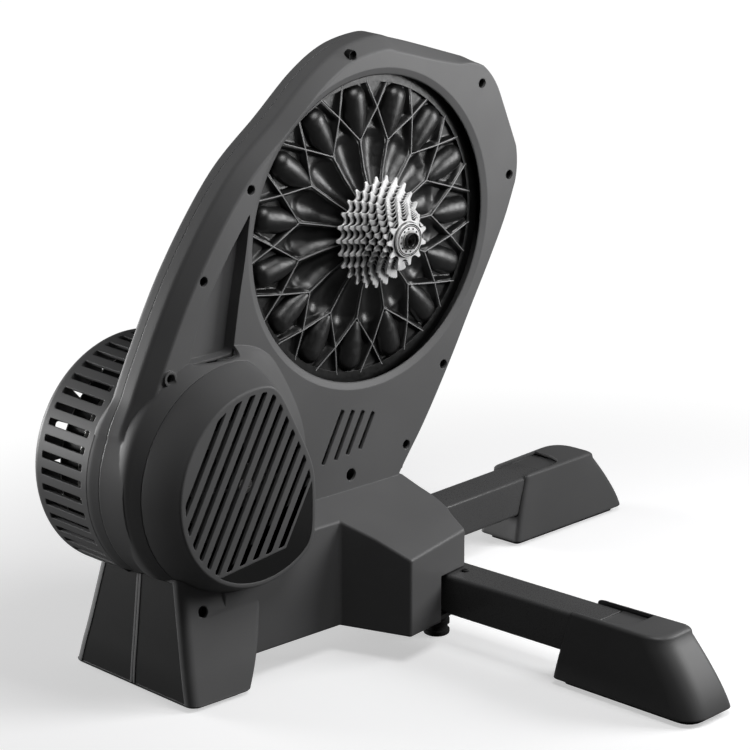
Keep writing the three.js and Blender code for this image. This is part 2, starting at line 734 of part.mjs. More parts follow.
// Half shafts, bearings and the flywheel side.
const bearing = (outer, inner, from, width) => ringOf(outer - fit.gap, inner + fit.gap, from, from + width, count.small);
function flywheelBody() {
  const { clearance, rimWidth, rimThickness, webThickness, center, hubRadius, shaftRadius } = flywheel;
  const radius = drum.radius - drum.wall - clearance;
  const inner = radius - rimThickness;
  const bore = shaftRadius + fit.gap;
  const profile = [
    [bore, center - webThickness / 2],
    [inner, center - webThickness / 2],
    [inner, center - rimWidth / 2],
    [radius, center - rimWidth / 2],
    [radius, center + rimWidth / 2],
    [inner, center + rimWidth / 2],
    [inner, center + webThickness / 2],
    [bore, center + webThickness / 2],
  ];
  const middle = (inner + hubRadius) / 2;
  const holes = Array.from({ length: flywheel.holes }, (_, k) =>
    solid(disc(flywheel.holeRadius, center - rimWidth, center + rimWidth, count.hole))
      .translate([middle, 0, 0])
      .rotate([0, (k / flywheel.holes) * 360, 0]),
  );
  return cut(solid(turned(profile)), ...holes);
}
function smallPulleyBody() {
  const { radius, flange, flangeWidth } = smallPulley;
  const bore = flywheel.shaftRadius + fit.gap;
  const from = belt.from - fit.running - flangeWidth;
  const to = belt.to + fit.running + flangeWidth;
  return turned([
    [bore, from],
    [radius + flange, from],
    [radius + flange, from + flangeWidth],
    [radius, from + flangeWidth],
    [radius, to - flangeWidth],
    [radius + flange, to - flangeWidth],
    [radius + flange, to],
    [bore, to],
  ], count.small);
}
function beltPath(grow, Kind) {
  const big = pulley.rimRadius + fit.gap + grow;
  const small = smallPulley.radius + fit.gap + grow;
  const span = Math.hypot(flywheelAxis.back, flywheelAxis.below);
  const toward = Math.atan2(-flywheelAxis.below, -flywheelAxis.back);
  const open = Math.acos((big - small) / span);
  const path = new Kind();
  path.absarc(0, 0, big, toward + open, toward - open + Math.PI * 2, false);
  path.absarc(flyX, -flywheelAxis.below, small, toward - open, toward + open, false);
  return path;
}
function beltBand() {
  const shape = beltPath(belt.thickness, THREE.Shape);
  shape.holes.push(beltPath(0, THREE.Path));
  return atHub(solid(plate(shape, belt.from, belt.to, count.belt)));
}
// Eddy current brake: a spinning disc with blades, and a fixed ring of coils on a carrier plate.
function brakeDisc() {
  const blades = Array.from({ length: brake.blades }, (_, k) =>
    solid(boxOf(brake.hubRadius - fit.gap, brake.discRadius - fit.wall, brake.discY - fit.gap - brake.bladeHeight,
      brake.discY, -fit.wall / 2, fit.wall / 2))
      .rotate([0, (k / brake.blades) * 360, 0]),
  );
  const flat = solid(ringOf(brake.discRadius, flywheel.shaftRadius + fit.gap, brake.discY, brake.discY + brake.discThickness));
  const boss = solid(ringOf(brake.hubRadius, flywheel.shaftRadius + fit.gap, brake.discY - brake.bladeHeight,
    brake.discY + fit.gap, count.small));
  return join(flat, boss, ...blades);
}
function brakeCoils() {
  const from = brake.discY + brake.discThickness + brake.yokeGap;
  const edge = domeRing(dome.parting, fit.wall + fit.gap).map((p) => new THREE.Vector2(p.x - flyX, p.z - flyZ));
  const plateShape = new THREE.Shape(edge);
  plateShape.holes.push(new THREE.Path().absarc(0, 0, brake.carrierBore, 0, Math.PI * 2, true));
  const carrier = solid(plate(plateShape, from + brake.coilHeight, from + brake.coilHeight + fit.wall, count.small / 2));
  const coils = Array.from({ length: brake.coils }, (_, k) =>
    solid(disc(brake.coilRadius, from, from + brake.coilHeight + fit.gap, count.hole))
      .translate([brake.coilCircle, 0, 0])
      .rotate([0, (k / brake.coils) * 360, 0]),
  );
  return join(carrier, ...coils);
}

// The cast frame that carries axle and flywheel shaft, standing between the two leg plates.
function framePlate() {
  const shape = rounded(frame.outline);
  for (const window of frame.windows) shape.holes.push(rounded(window));
  const web = atHub(solid(plate(shape, frame.from, frame.to, 3)));
  const hubBoss = atHub(solid(disc(frame.hubBoss, frame.from, frame.to + fit.running, count.small)));
  const flyBoss = solid(disc(frame.flyBoss, frame.from, frame.bossTo, count.small)).translate([flyX, 0, flyZ]);
  const axleHole = atHub(solid(disc(hub.axleRadius + fit.gap, 0, frame.bossTo * 2, count.small)));
  const seats = [[frame.from - fit.gap, frame.bearingWidth], [frame.bossTo - frame.bearingWidth, frame.bearingWidth + fit.gap]]
    .map(([from, width]) => solid(disc(frame.bearingRadius, from, from + width, count.small)).translate([flyX, 0, flyZ]));
  const shaftHole = solid(disc(flywheel.shaftRadius + fit.wall, 0, frame.bossTo * 2, count.small))
    .translate([flyX, 0, flyZ]);
  return cut(join(web, hubBoss, flyBoss), axleHole, shaftHole, ...seats);
}
const mirrorY = (made) => made.mirror([0, 1, 0]).translate([0, seamY * 2, 0]);
function pivotHoles() {
  const holes = [-1, 1].map((side) =>
    solid(post(leg.boltRadius + fit.gap, 0, hub.height)).translate([leg.pivotX, seamY + side * leg.pivotOut, 0]),
  );
  return join(...holes);
}
function lowerPlate() {
  const top = leg.barBottom - fit.gap;
  const margin = fit.wall + fit.gap;
  const corners = beamCorners(margin).map(([x, y, r], i) => [i < 2 ? plates.rear : x, seamY - y, r]);
  const half = solid(prism(rounded(corners), top - plates.thickness, top, 4));
  return cut(join(half, mirrorY(half)), pivotHoles());
}
function upperPlate() {
  const from = leg.barTop + fit.gap;
  const front = beam.frontX - fit.wall - fit.gap;
  const blank = boxOf(plates.rear, front, seamY - plates.upperHalf, seamY + plates.upperHalf, from, from + plates.thickness);
  return cut(solid(blank), pivotHoles());
}
function pivotBolt() {
  const top = leg.barTop + fit.gap * 2 + plates.thickness;
  const bottom = leg.barBottom - fit.gap * 2 - plates.thickness;
  return join(
    solid(post(leg.boltRadius, bottom - fit.running, top + fit.running)),
    solid(post(leg.boltHeadRadius, top, top + leg.boltHeadHeight)),
    solid(post(leg.boltHeadRadius, bottom - leg.boltHeadHeight, bottom)),
  );
}
function supportFoot() {
  const top = leg.barBottom - fit.gap * 2 - plates.thickness;
  const rib = top / (hoodFoot.ribs * 2 + 1);
  const profile = [[0, 0]];
  for (let i = 0; i < hoodFoot.ribs * 2 + 1; i++) {
    const r = i % 2 ? hoodFoot.grip : hoodFoot.radius;
    profile.push([r, i * rib], [r, (i + 1) * rib]);
  }
  profile.push([0, top]);
  return solid(turned(profile, count.small)).rotate([90, 0, 0]);
}
function plinthPadSolid() {
  const { rear, front, outer, inner, corner } = plinthPad;
  const shape = rounded([
    [rear, -outer, corner],
    [front, -outer, corner],
    [front, -inner, corner],
    [rear, -inner, corner],
  ]);
  return solid(prism(shape, 0, plinth.rings[0][0] - fit.gap, 3)).translate([0, seamY, 0]);
}
function controlBoard() {
  const { x, z, width, height, thickness, y } = board;
  const inside = body.leftFace - fit.wall - fit.gap;
  const blank = solid(boxOf(x, x + width, y, y + thickness, z, z + height));
  const posts = [board.post, width - board.post].flatMap((dx) => [board.post, height - board.post].map((dz) =>
    solid(disc(board.post, y, inside, count.post)).translate([x + dx, 0, z + dz]),
  ));
  return atHub(join(blank, ...posts));
}

// One folding leg along +X from its pivot; the foot's rear edge is on the -Y side.
function legBar() {
  const half = leg.barWidth / 2;
  const end = leg.footStart + leg.barInFoot;
  const shape = rounded([[-half, -half, leg.barEndRadius], [end, -half, 0], [end, half, 0], [-half, half, leg.barEndRadius]]);
  const inner = half - leg.barWall;
  const over = fit.cutOver;
  return cut(
    solid(prism(shape, leg.barBottom, leg.barTop, 4)),
    solid(boxOf(-half - over, end + over, -inner, inner, leg.barBottom + leg.barWall, leg.barTop - leg.barWall)),
    solid(post(leg.boltRadius + fit.running, 0, hub.height)),
    solid(post(leg.detentRadius + fit.gap, (leg.barBottom + leg.barTop) / 2, hub.height, count.hole))
      .translate([leg.detentPlace, 0, 0]),
  );
}
function footRing(z, wall, start, end, halfInner, halfOuter) {
  const corners = [
    [start + wall, -halfInner + wall, foot.frontCorner],
    [end - wall, -halfOuter + wall, foot.rearCorner],
    [end - wall, halfOuter - wall, foot.frontCorner],
    [start + wall, halfInner - wall, foot.frontCorner],
  ];
  return rounded(corners).getPoints(5).slice(0, -1).map((p) => new THREE.Vector3(p.x, p.y, z));
}
function footBody() {
  const start = leg.footStart;
  const end = start + foot.length;
  const body = (wall) => solid(loft([
    footRing(wall ? foot.bottom - fit.cutOver : foot.bottom, wall, start, end, foot.halfBottomInner, foot.halfBottomOuter),
    footRing(foot.top - wall, wall, start + foot.topStart, end - foot.topEnd, foot.halfTopInner, foot.halfTopOuter),
  ]));
  const half = leg.barWidth / 2 + fit.gap;
  const over = fit.cutOver;
  const barEnd = start + leg.barInFoot + fit.gap;
  const recess = end - foot.topEnd - fit.wall * 2;
  const cup = solid(boxOf(recess - foot.recessLength - fit.wall, recess + fit.wall, -foot.recessHalf - fit.wall,
    foot.recessHalf + fit.wall, foot.top - foot.recessDepth - fit.wall, foot.top - fit.wall / 2));
  const dish = solid(boxOf(recess - foot.recessLength, recess, -foot.recessHalf, foot.recessHalf,
    foot.top - foot.recessDepth, foot.top + over));
  const channel = solid(boxOf(start - over, barEnd, -half, half, leg.barBottom - fit.gap, foot.top + over));
  return cut(cut(body(0), body(fit.wall)).add(cup), dish, channel);
}
function footPad() {
  const end = leg.footStart + foot.length;
  const inset = foot.padInset;
  const ring = footRing(0, inset, leg.footStart, end, foot.halfBottomInner, foot.halfBottomOuter);
  const shape = new THREE.Shape(ring.map((p) => new THREE.Vector2(p.x, p.y)));
  return solid(prism(shape, 0, foot.bottom - fit.gap));
}
function detentPin() {
  const below = leg.barWall * 2;
  return post(leg.detentRadius, leg.barTop - below, leg.barTop + leg.detentHeight, count.hole);
}

const trainer = new THREE.Group();
const fixed = new THREE.Group();
trainer.add(fixed);

function axisGroup(name, x, z) {
  const group = new THREE.Group();
  group.name = name;
  group.position.set(x, 0, z);
  trainer.add(group);
  return group;
}
fixed.add(
  mesh("right_shell", sideShell(true), looks.shell),
  mesh("left_shell", sideShell(false), looks.shell),
  mesh("vent_cover", ventCover(), looks.shell),
  mesh("frame_plate", framePlate(), looks.alloy),
  mesh("lower_plate", lowerPlate(), looks.black),
  mesh("upper_plate", upperPlate(), looks.black),
  mesh("belt", beltBand(), looks.rubber),
  mesh("control_board", controlBoard(), looks.board),
  mesh("power_inlet", powerInlet(), looks.black),
);

// Everything round the flywheel axis.
const flyFixed = axisGroup("flywheel_fixed", flyX, flyZ);
flyFixed.add(
  mesh("drum_cover", drumCover(), looks.shell),
  mesh("brake_coils", brakeCoils(), looks.black),
  mesh("shaft_bearing_inner", bearing(frame.bearingRadius, flywheel.shaftRadius, frame.from, frame.bearingWidth - fit.gap), looks.steel),
  mesh("shaft_bearing_outer", bearing(frame.bearingRadius, flywheel.shaftRadius,
    frame.bossTo - frame.bearingWidth + fit.gap, frame.bearingWidth - fit.gap), looks.steel),
);
const flyAxis = axisGroup("flywheel_axis", flyX, flyZ);
flyAxis.add(
  mesh("flywheel", flywheelBody(), looks.steel),
  mesh("flywheel_shaft", disc(flywheel.shaftRadius, flywheel.shaftFrom, flywheel.shaftTo, count.small), looks.steel),
  mesh("small_pulley", smallPulleyBody(), looks.alloy),
  mesh("brake_disc", brakeDisc(), looks.alloy),
);

// Everything round the hub axis.
const hubFixed = axisGroup("hub_fixed", 0, hub.height);
const axleGap = hub.axleRadius + fit.gap;
hubFixed.add(
  mesh("main_axle", ringOf(hub.axleRadius, hub.axleBore, hub.rightEnd, hub.leftEnd, count.small), looks.steel),
  mesh("right_end_cap", ringOf(hub.capRadius, hub.axleBore, hub.rightEnd - fit.gap - hub.capWidth,
    hub.rightEnd - fit.gap, count.small), looks.steel),
  mesh("left_end_cap", ringOf(hub.leftCapRadius, hub.axleBore, hub.leftEnd + fit.gap,
    hub.leftEnd + fit.gap + hub.capWidth, count.small), looks.steel),
  mesh("axle_spacer", ringOf(hub.spacerRadius, axleGap, frame.to + fit.running + fit.gap, hub.leftEnd, count.small), looks.steel),
);
const bigBearing = (from) => bearing(pulley.bearingRadius, hub.axleRadius, from, pulley.bearingWidth);
const pulleyAxis = axisGroup("hub_axis", 0, hub.height);
hubFixed.add(
  mesh("pulley_bearing_outer", bigBearing(pulley.hubFrom), looks.steel),
  mesh("pulley_bearing_inner", bigBearing(pulley.rimTo - pulley.bearingWidth), looks.steel),
);
pulleyAxis.add(mesh("drive_pulley", rosettePulley(), looks.gloss));
const cassetteAxis = axisGroup("cassette_axis", 0, hub.height);
const lastFace = sprockets.first - (sprockets.teeth.length - 1) * sprockets.pitch - sprockets.thickness;
const hubBearing = (from) => bearing(freehub.bearingRadius + fit.gap, hub.axleRadius, from, freehub.bearingWidth);
hubFixed.add(
  mesh("freehub_bearing_inner", hubBearing(freehub.from - freehub.bearingWidth), looks.steel),
  mesh("freehub_bearing_outer", hubBearing(lastFace + fit.gap), looks.steel),
);
cassetteAxis.add(
  mesh("freehub_body", freehubBody(), looks.alloy),
  ...sprockets.teeth.map((teeth, i) => mesh(`sprocket_${teeth}`, sprocket(teeth, i), looks.steel)),
  mesh("lockring", lockRing(lastFace - fit.gap), looks.black),
);

// Legs, with what holds and carries them.
for (const right of [true, false]) {
  const side = right ? "right" : "left";
  const sign = right ? -1 : 1;
  const flip = (made) => (right ? made : made.mirror([0, 1, 0]));
  const pivot = new THREE.Group();
  pivot.name = `${side}_leg_axis`;
  pivot.position.set(leg.pivotX, seamY + sign * leg.pivotOut, 0);
  pivot.rotation.z = rad(right ? leg.rightAngle : leg.leftAngle);
  trainer.add(pivot);
  pivot.add(
    mesh(`${side}_leg_bar`, flip(legBar()), looks.bar),
    mesh(`${side}_foot`, flip(footBody()), looks.black),
    mesh(`${side}_foot_pad`, flip(footPad()), looks.rubber),
    mesh(`${side}_detent`, detentPin().translate(leg.detentPlace, 0, 0), looks.steel),
  );
  const bolt = mesh(`${side}_pivot_bolt`, pivotBolt(), looks.steel);
  bolt.position.copy(pivot.position);
  const support = supportFoot().translate([hoodFoot.x, hoodFoot.y, 0]);
  const pad = plinthPadSolid();
  fixed.add(
    bolt,
    mesh(`${side}_support_foot`, right ? support : mirrorY(support), looks.rubber),
    mesh(`${side}_plinth_pad`, right ? pad : mirrorY(pad), looks.rubber),
  );
}

// The origin is the middle of the footprint, on the floor.
const bounds = new THREE.Box3().setFromObject(trainer, true);
const middle = bounds.getCenter(new THREE.Vector3());
trainer.position.set(-middle.x, -middle.y, -bounds.min.z);

export default trainer;
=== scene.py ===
# Direct drive bike trainer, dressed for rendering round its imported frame.
# Shapes are given in millimetres: x forward and y left of the hub's middle, z above the floor.
import math

import bmesh
import bpy
import numpy as np
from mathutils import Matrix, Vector

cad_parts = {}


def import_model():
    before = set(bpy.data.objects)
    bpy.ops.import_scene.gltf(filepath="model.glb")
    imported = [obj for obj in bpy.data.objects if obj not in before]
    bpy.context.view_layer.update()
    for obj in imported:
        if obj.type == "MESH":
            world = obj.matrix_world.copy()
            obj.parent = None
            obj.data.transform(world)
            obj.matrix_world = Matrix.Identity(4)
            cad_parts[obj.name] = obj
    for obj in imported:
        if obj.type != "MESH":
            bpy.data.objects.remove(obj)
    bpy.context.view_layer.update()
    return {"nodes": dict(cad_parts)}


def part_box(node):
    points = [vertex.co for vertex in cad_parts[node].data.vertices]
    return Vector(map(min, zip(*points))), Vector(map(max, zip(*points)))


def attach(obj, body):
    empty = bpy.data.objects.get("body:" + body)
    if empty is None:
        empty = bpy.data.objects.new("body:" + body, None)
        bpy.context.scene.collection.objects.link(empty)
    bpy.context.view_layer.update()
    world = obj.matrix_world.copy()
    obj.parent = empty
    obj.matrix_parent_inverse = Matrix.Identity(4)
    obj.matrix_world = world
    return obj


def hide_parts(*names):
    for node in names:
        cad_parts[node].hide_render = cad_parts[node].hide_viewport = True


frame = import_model()
print("frame loaded")

axleLow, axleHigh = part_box("main_axle")
axleLeftEnd = 61
place = np.array([(axleLow.x + axleHigh.x) / 2, axleHigh.y - axleLeftEnd / 1000, 0])
hubZ = 389.5
flyX, flyZ = -196, 196.5
seamY, seamGap, wall = 20, 0.4, 3
signs = {"right": -1, "left": 1}


# Mesh helpers
def toFrame(points):
    return np.asarray(points, float) / 1000 + place


def placed(name, data):
    made = bpy.data.objects.new(name, data)
    bpy.context.scene.collection.objects.link(made)
    return made


def makeMesh(name, points, faces):
    data = bpy.data.meshes.new(name)
    data.from_pydata(toFrame(points).tolist(), [], faces)
    work = bmesh.new()
    work.from_mesh(data)
    bmesh.ops.remove_doubles(work, verts=work.verts, dist=2e-6)
    bmesh.ops.recalc_face_normals(work, faces=work.faces)
    work.to_mesh(data)
    work.free()
    return placed(name, data)


def loft(name, rings, capped=True):
    n = len(rings[0])
    faces = []
    for k in range(len(rings) - 1):
        for i in range(n):
            j = (i + 1) % n
            faces.append((k * n + i, k * n + j, (k + 1) * n + j, (k + 1) * n + i))
    if capped:
        faces += [tuple(range(n)), tuple(range((len(rings) - 1) * n, len(rings) * n))]
    return makeMesh(name, np.concatenate([np.asarray(r, float) for r in rings]), faces)


def lifted(outline, axis, at):
    a, b = np.asarray(outline, float).T
    c = np.full(len(a), float(at))
    return np.stack({"x": (c, a, b), "y": (a, c, b), "z": (a, b, c)}[axis], 1)


def slab(name, outline, axis, low, high):
    return loft(name, [lifted(outline, axis, low), lifted(outline, axis, high)])


def block(name, x0, x1, y0, y1, z0, z1):
    return slab(name, oblong(x0, x1, y0, y1, 0), "z", z0, z1)


def circle(radius, centre, steps):
    angle = np.linspace(0, 2 * math.pi, steps, endpoint=False)
    return np.stack([centre[0] + radius * np.cos(angle), centre[1] + radius * np.sin(angle)], 1)


# Sines and cosines of a quarter turn, in even steps.
def quarter(count):
    return [(math.sin(t), math.cos(t)) for t in np.linspace(0, math.pi / 2, count)]


# Unit vectors out at an angle and square to it.
def compass(angle):
    c, s = math.cos(angle), math.sin(angle)
    return np.array([c, s]), np.array([-s, c])


# A piece turned about a line along one axis; the profile is a closed list of (radius, place on the line).
def turned(name, profile, centre, steps=96, axis="y"):
    rings = [lifted(circle(r, centre, steps), axis, at) for r, at in [*profile, profile[0]]]
    return loft(name, rings, capped=False)


def spline(points, steps):
    pts = np.asarray(points, float)
    last = len(pts) - 1
    rows = []
    for i in range(last):
        before, a, b, after = pts[max(i - 1, 0)], pts[i], pts[i + 1], pts[min(i + 2, last)]
        t = np.linspace(0, 1, steps, endpoint=False)[:, None]
        v0, v1 = (b - before) / 2, (after - a) / 2
        rows.append((2 * a - 2 * b + v0 + v1) * t**3 + (3 * b - 3 * a - 2 * v0 - v1) * t**2 + v0 * t + a)
    return np.concatenate([*rows, pts[-1:]])


def bend(a, corner, b, steps):
    t = np.linspace(0, 1, steps)[:, None]
    a, corner, b = (np.asarray(p, float) for p in (a, corner, b))
    return a * (1 - t) ** 2 + corner * 2 * t * (1 - t) + b * t**2


# Corners are (a, b, radius), as seen along the axis they are lifted on.
def rounded(corners, steps=6):
    points = []
    for i, (a, b, radius) in enumerate(corners):
        here = np.array([a, b], float)
        if not radius:
            points.append(here[None])
            continue
        ends = []
        for other in (corners[i - 1], corners[(i + 1) % len(corners)]):
            away = np.array(other[:2], float) - here
            ends.append(here + away / np.linalg.norm(away) * radius)
        points.append(bend(ends[0], here, ends[1], steps))
    return np.concatenate(points)


def oblong(a0, a1, b0, b1, corner, steps=5):
    return rounded([(a0, b0, corner), (a1, b0, corner), (a1, b1, corner), (a0, b1, corner)], steps)


def evenly(points, count):
    loop = np.concatenate([points, points[:1]])
    walked = np.concatenate([[0], np.cumsum(np.linalg.norm(np.diff(loop, axis=0), axis=1))])
    at = np.linspace(0, walked[-1], count, endpoint=False)
    return np.stack([np.interp(at, walked, loop[:, k]) for k in range(loop.shape[1])], 1)


# Moves a counter-clockwise outline inwards, by one distance or one for each point.
def inset(points, distance):
    along = np.roll(points, -1, 0) - np.roll(points, 1, 0)
    along /= np.linalg.norm(along, axis=1)[:, None]
    inward = np.stack([-along[:, 1], along[:, 0]], 1)
    return points + inward * np.broadcast_to(distance, len(points))[:, None]


def settle(obj):
    data = bpy.data.meshes.new_from_object(obj.evaluated_get(bpy.context.evaluated_depsgraph_get()))
    obj.modifiers.clear()
    spare = obj.data
    obj.data = data
    bpy.data.meshes.remove(spare)
    return obj


def boolean(base, operation, *tools):
    for tool in tools:
        step = base.modifiers.new("step", "BOOLEAN")
        step.operation = operation
        step.solver = "MANIFOLD"
        step.object = tool
    settle(base)
    for tool in tools:
        bpy.data.objects.remove(tool)
    return base


def cut(base, *tools):
    return boolean(base, "DIFFERENCE", *tools)


def unite(base, *tools):
    return boolean(base, "UNION", *tools)


# Several objects that don't touch, as one object.
def together(name, *parts):
    work = bmesh.new()
    for part in parts:
        work.from_mesh(part.data)
        bpy.data.objects.remove(part)
    data = bpy.data.meshes.new(name)
    work.to_mesh(data)
    work.free()
    return placed(name, data)


def soften(obj, width, steps, angle):
    edge = obj.modifiers.new("edge", "BEVEL")
    edge.width = width / 1000
    edge.segments = steps
    edge.limit_method = "ANGLE"
    edge.angle_limit = math.radians(angle)
    return settle(obj)


# Last step for each piece: smooth where it is curved, finish, body and the node that it stands for.
def dress(obj, finish, body, slot, *nodes, angle=32):
    obj.data.shade_smooth()
    obj.data.set_sharp_from_angle(angle=math.radians(angle))
    even = obj.modifiers.new("even", "WEIGHTED_NORMAL")
    even.keep_sharp = True
    obj.data.materials.clear()
    obj.data.materials.append(finishes[finish])
    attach(obj, body)
    if nodes:
        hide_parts(*nodes)
    return obj


# Shader helpers: a signal is one socket of a node tree, and sums of signals add its Math nodes.
class Signal:
    def __init__(self, tree, socket):
        self.tree = tree
        self.socket = socket

    def maths(self, operation, first, second=0.0):
        return node(self.tree, "Math", {"operation": operation}, {0: first, 1: second})

    def __add__(self, other):
        return self.maths("ADD", self, other)

    def __radd__(self, other):
        return self.maths("ADD", other, self)

    def __sub__(self, other):
        return self.maths("SUBTRACT", self, other)

    def __rsub__(self, other):
        return self.maths("SUBTRACT", other, self)

    def __mul__(self, other):
        return self.maths("MULTIPLY", self, other)

    def __rmul__(self, other):
        return self.maths("MULTIPLY", other, self)

    def between(self, low, high, start=0.0, end=1.0):
        limits = {"From Min": low, "From Max": high, "To Min": start, "To Max": end}
        return node(self.tree, "MapRange", {"interpolation_type": "SMOOTHSTEP"}, {"Value": self, **limits})


def node(tree, kind, settings=None, inputs=None, output=0):
    made = tree.nodes.new("ShaderNode" + kind)
    for key, value in (settings or {}).items():
        setattr(made, key, value)
    for key, value in (inputs or {}).items():
        socket = made.inputs[key]
        if isinstance(value, Signal):
            tree.links.new(value.socket, socket)
        else:
            socket.default_value = value
    return Signal(tree, made.outputs[output])


def grey(level):
    return (level, level, level * 1.01, 1)


def mixed(tree, share, first, second):
    return node(tree, "Mix", {"data_type": "RGBA"}, {0: share, 6: first, 7: second}, 2)


def newFinish(name, roughness, metallic=0.0, coat=0.0, specular=0.5):
    material = bpy.data.materials.new(name)
    material.use_nodes = True
    tree = material.node_tree
    shader = tree.nodes["Principled BSDF"]
    shader.inputs["Roughness"].default_value = roughness
    shader.inputs["Metallic"].default_value = metallic
    shader.inputs["Coat Weight"].default_value = coat
    shader.inputs["Coat Roughness"].default_value = 0.08
    shader.inputs["Specular IOR Level"].default_value = specular
    return material, tree, shader


def surface(tree):
    return node(tree, "TexCoord", None, None, 3)


def noise(tree, at, scale, detail=3):
    return node(tree, "TexNoise", None, {"Vector": at, "Scale": scale, "Detail": detail})


# How near a sharp edge is, from 0 on a flat to 1 on the edge, and the rounded normal there.
def edges(tree, radius):
    soft = node(tree, "Bevel", {"samples": 4}, {"Radius": radius / 1000})
    plain = node(tree, "NewGeometry", None, None, 1)
    facing = node(tree, "VectorMath", {"operation": "DOT_PRODUCT"}, {0: soft, 1: plain}, 1)
    return soft, (1 - facing).between(0.005, 0.16)


def feed(tree, shader, **signals):
    for key, value in signals.items():
        tree.links.new(value.socket, shader.inputs[key.replace("_", " ")])


def bumped(tree, height, strength, depth, normal=None):
    inputs = {"Height": height, "Strength": strength, "Distance": depth / 1000}
    if normal is not None:
        inputs["Normal"] = normal
    return node(tree, "Bump", None, inputs)


# How tones vary over the plastics and metals, with the painted edge highlights and the painted shade in
# hollows.
variety = {
    "driftScale": 11,
    "drift": (0.94, 1.06),
    "speckShare": 0.22,
    "speckTone": 1.35,
    "edgeHighlightShare": 0.55,
    "rubbedPolish": 0.08,
    "stainScale": 38,
    "stain": (0.86, 1.08),
    "metalHighlightShare": 0.5,
    "metalHighlightTone": 1.3,
    "hollowShade": 0.012,
}


# Moulded plastic: fine grain, slow drift of tone, and edges a little paler: a painted highlight.
def mouldedPlastic(name, tone, roughness, grain, edge, wearAndSheen, coat=0.0, specular=0.3):
    material, tree, shader = newFinish(name, roughness, coat=coat, specular=specular)
    scale, strength, depth = grain
    at = surface(tree)
    soft, nearEdge = edges(tree, edge)
    fine = noise(tree, at, scale)
    coarse = noise(tree, at, variety["driftScale"], 2)
    drift = mixed(tree, coarse.between(0.3, 0.7), *(grey(tone * part) for part in variety["drift"]))
    specks = fine.between(0.35, 0.75, 0, variety["speckShare"])
    speckled = mixed(tree, specks, drift, grey(tone * variety["speckTone"]))
    # Paler edges: a painted highlight.
    colour = mixed(tree, nearEdge * variety["edgeHighlightShare"], speckled, grey(tone * wearAndSheen))
    rough = fine.between(0.3, 0.7, roughness - 0.05, roughness + 0.07) - nearEdge * variety["rubbedPolish"]
    feed(tree, shader, Base_Color=colour, Roughness=rough, Normal=bumped(tree, fine, strength, depth, soft))
    return material


# Metal: stained a little, with a painted highlight on its edges where it has an edge width, and painted
# shade in its hollows.
def metalFinish(name, tone, roughness, grain, edge, tint, metallic=1.0, hollowShade=0):
    material, tree, shader = newFinish(name, roughness, metallic=metallic)
    scale, strength, depth = grain
    at = surface(tree)
    soft, nearEdge = edges(tree, edge) if edge else (None, None)
    fine = noise(tree, at, scale)
    stain = noise(tree, at, variety["stainScale"])

    def tinted(part):
        return tuple(min(1, tone * part * c) for c in tint) + (1,)

    colour = mixed(tree, stain.between(0.3, 0.7), *(tinted(part) for part in variety["stain"]))
    # A painted highlight on the edges.
    if edge:
        colour = mixed(tree, nearEdge * variety["metalHighlightShare"], colour, tinted(variety["metalHighlightTone"]))
    # Painted shade: darker where the hollows are closed in.
    if hollowShade:
        openSky = node(tree, "AmbientOcclusion", {"samples": 12}, {"Distance": hollowShade / 1000}, 1)
        colour = mixed(tree, openSky.between(0.4, 0.85), grey(variety["hollowShade"]), colour)
    rough = fine.between(0.25, 0.75, roughness * 0.75, roughness * 1.25)
    feed(tree, shader, Base_Color=colour, Roughness=rough, Normal=bumped(tree, fine, strength, depth, soft))
    return material


# Plastics: name, tone, roughness, grain (scale, strength, depth), edge width, tone of the painted edge
# highlight, coat, specular.
plastics = {
    "shell": ("moulded_shell", 0.125, 0.46, (1900, 0.22, 0.05), 1.3, 1.45),
    "label": ("label_panel", 0.013, 0.36, (2600, 0.08, 0.03), 0.6, 1.5),
    "foot": ("foot_plastic", 0.09, 0.42, (1900, 0.2, 0.05), 1.5, 1.6),
    "inner": ("black_moulding", 0.012, 0.4, (1500, 0.15, 0.05), 0.8, 1.8),
    "rosette": ("gloss_moulding", 0.004, 0.36, (300, 0.02, 0.04), 0.35, 3.0, 0.0, 0.6),
    # The ridge wires' pale tone is a painted highlight on the ridge lines.
    "ridge": ("painted_ridge_highlight", 0.3, 0.4, (700, 0.04, 0.05), 0.3, 1.6),
    "bar": ("powder_coat", 0.08, 0.3, (1200, 0.06, 0.03), 1.2, 1.5, 0.2),
    "rubber": ("matt_rubber", 0.012, 0.8, (1300, 0.4, 0.08), 0.8, 1.6),
    "board": ("circuit_board", 0.03, 0.35, (400, 0.1, 0.05), 0.4, 1.3),
}
# Metals: name, tone, roughness, grain, edge width, tint, metallic share, how far the painted shade in
# hollows reaches.
metals = {
    "nickel": ("nickel_plate", 0.92, 0.34, (900, 0.03, 0.02), 0, (1, 1, 1), 0.2, 5),
    "steel": ("turned_steel", 0.6, 0.3, (260, 0.15, 0.05), 0.4, (1, 0.99, 0.97)),
    "alloy": ("cast_alloy", 0.5, 0.48, (800, 0.35, 0.1), 0.8, (0.98, 0.99, 1)),
    "oxide": ("black_oxide", 0.045, 0.36, (900, 0.15, 0.05), 0.3, (1, 1, 1), 0.7),
}
finishes = {key: mouldedPlastic(*row) for key, row in plastics.items()}
finishes |= {key: metalFinish(*row) for key, row in metals.items()}
print("finishes ready")

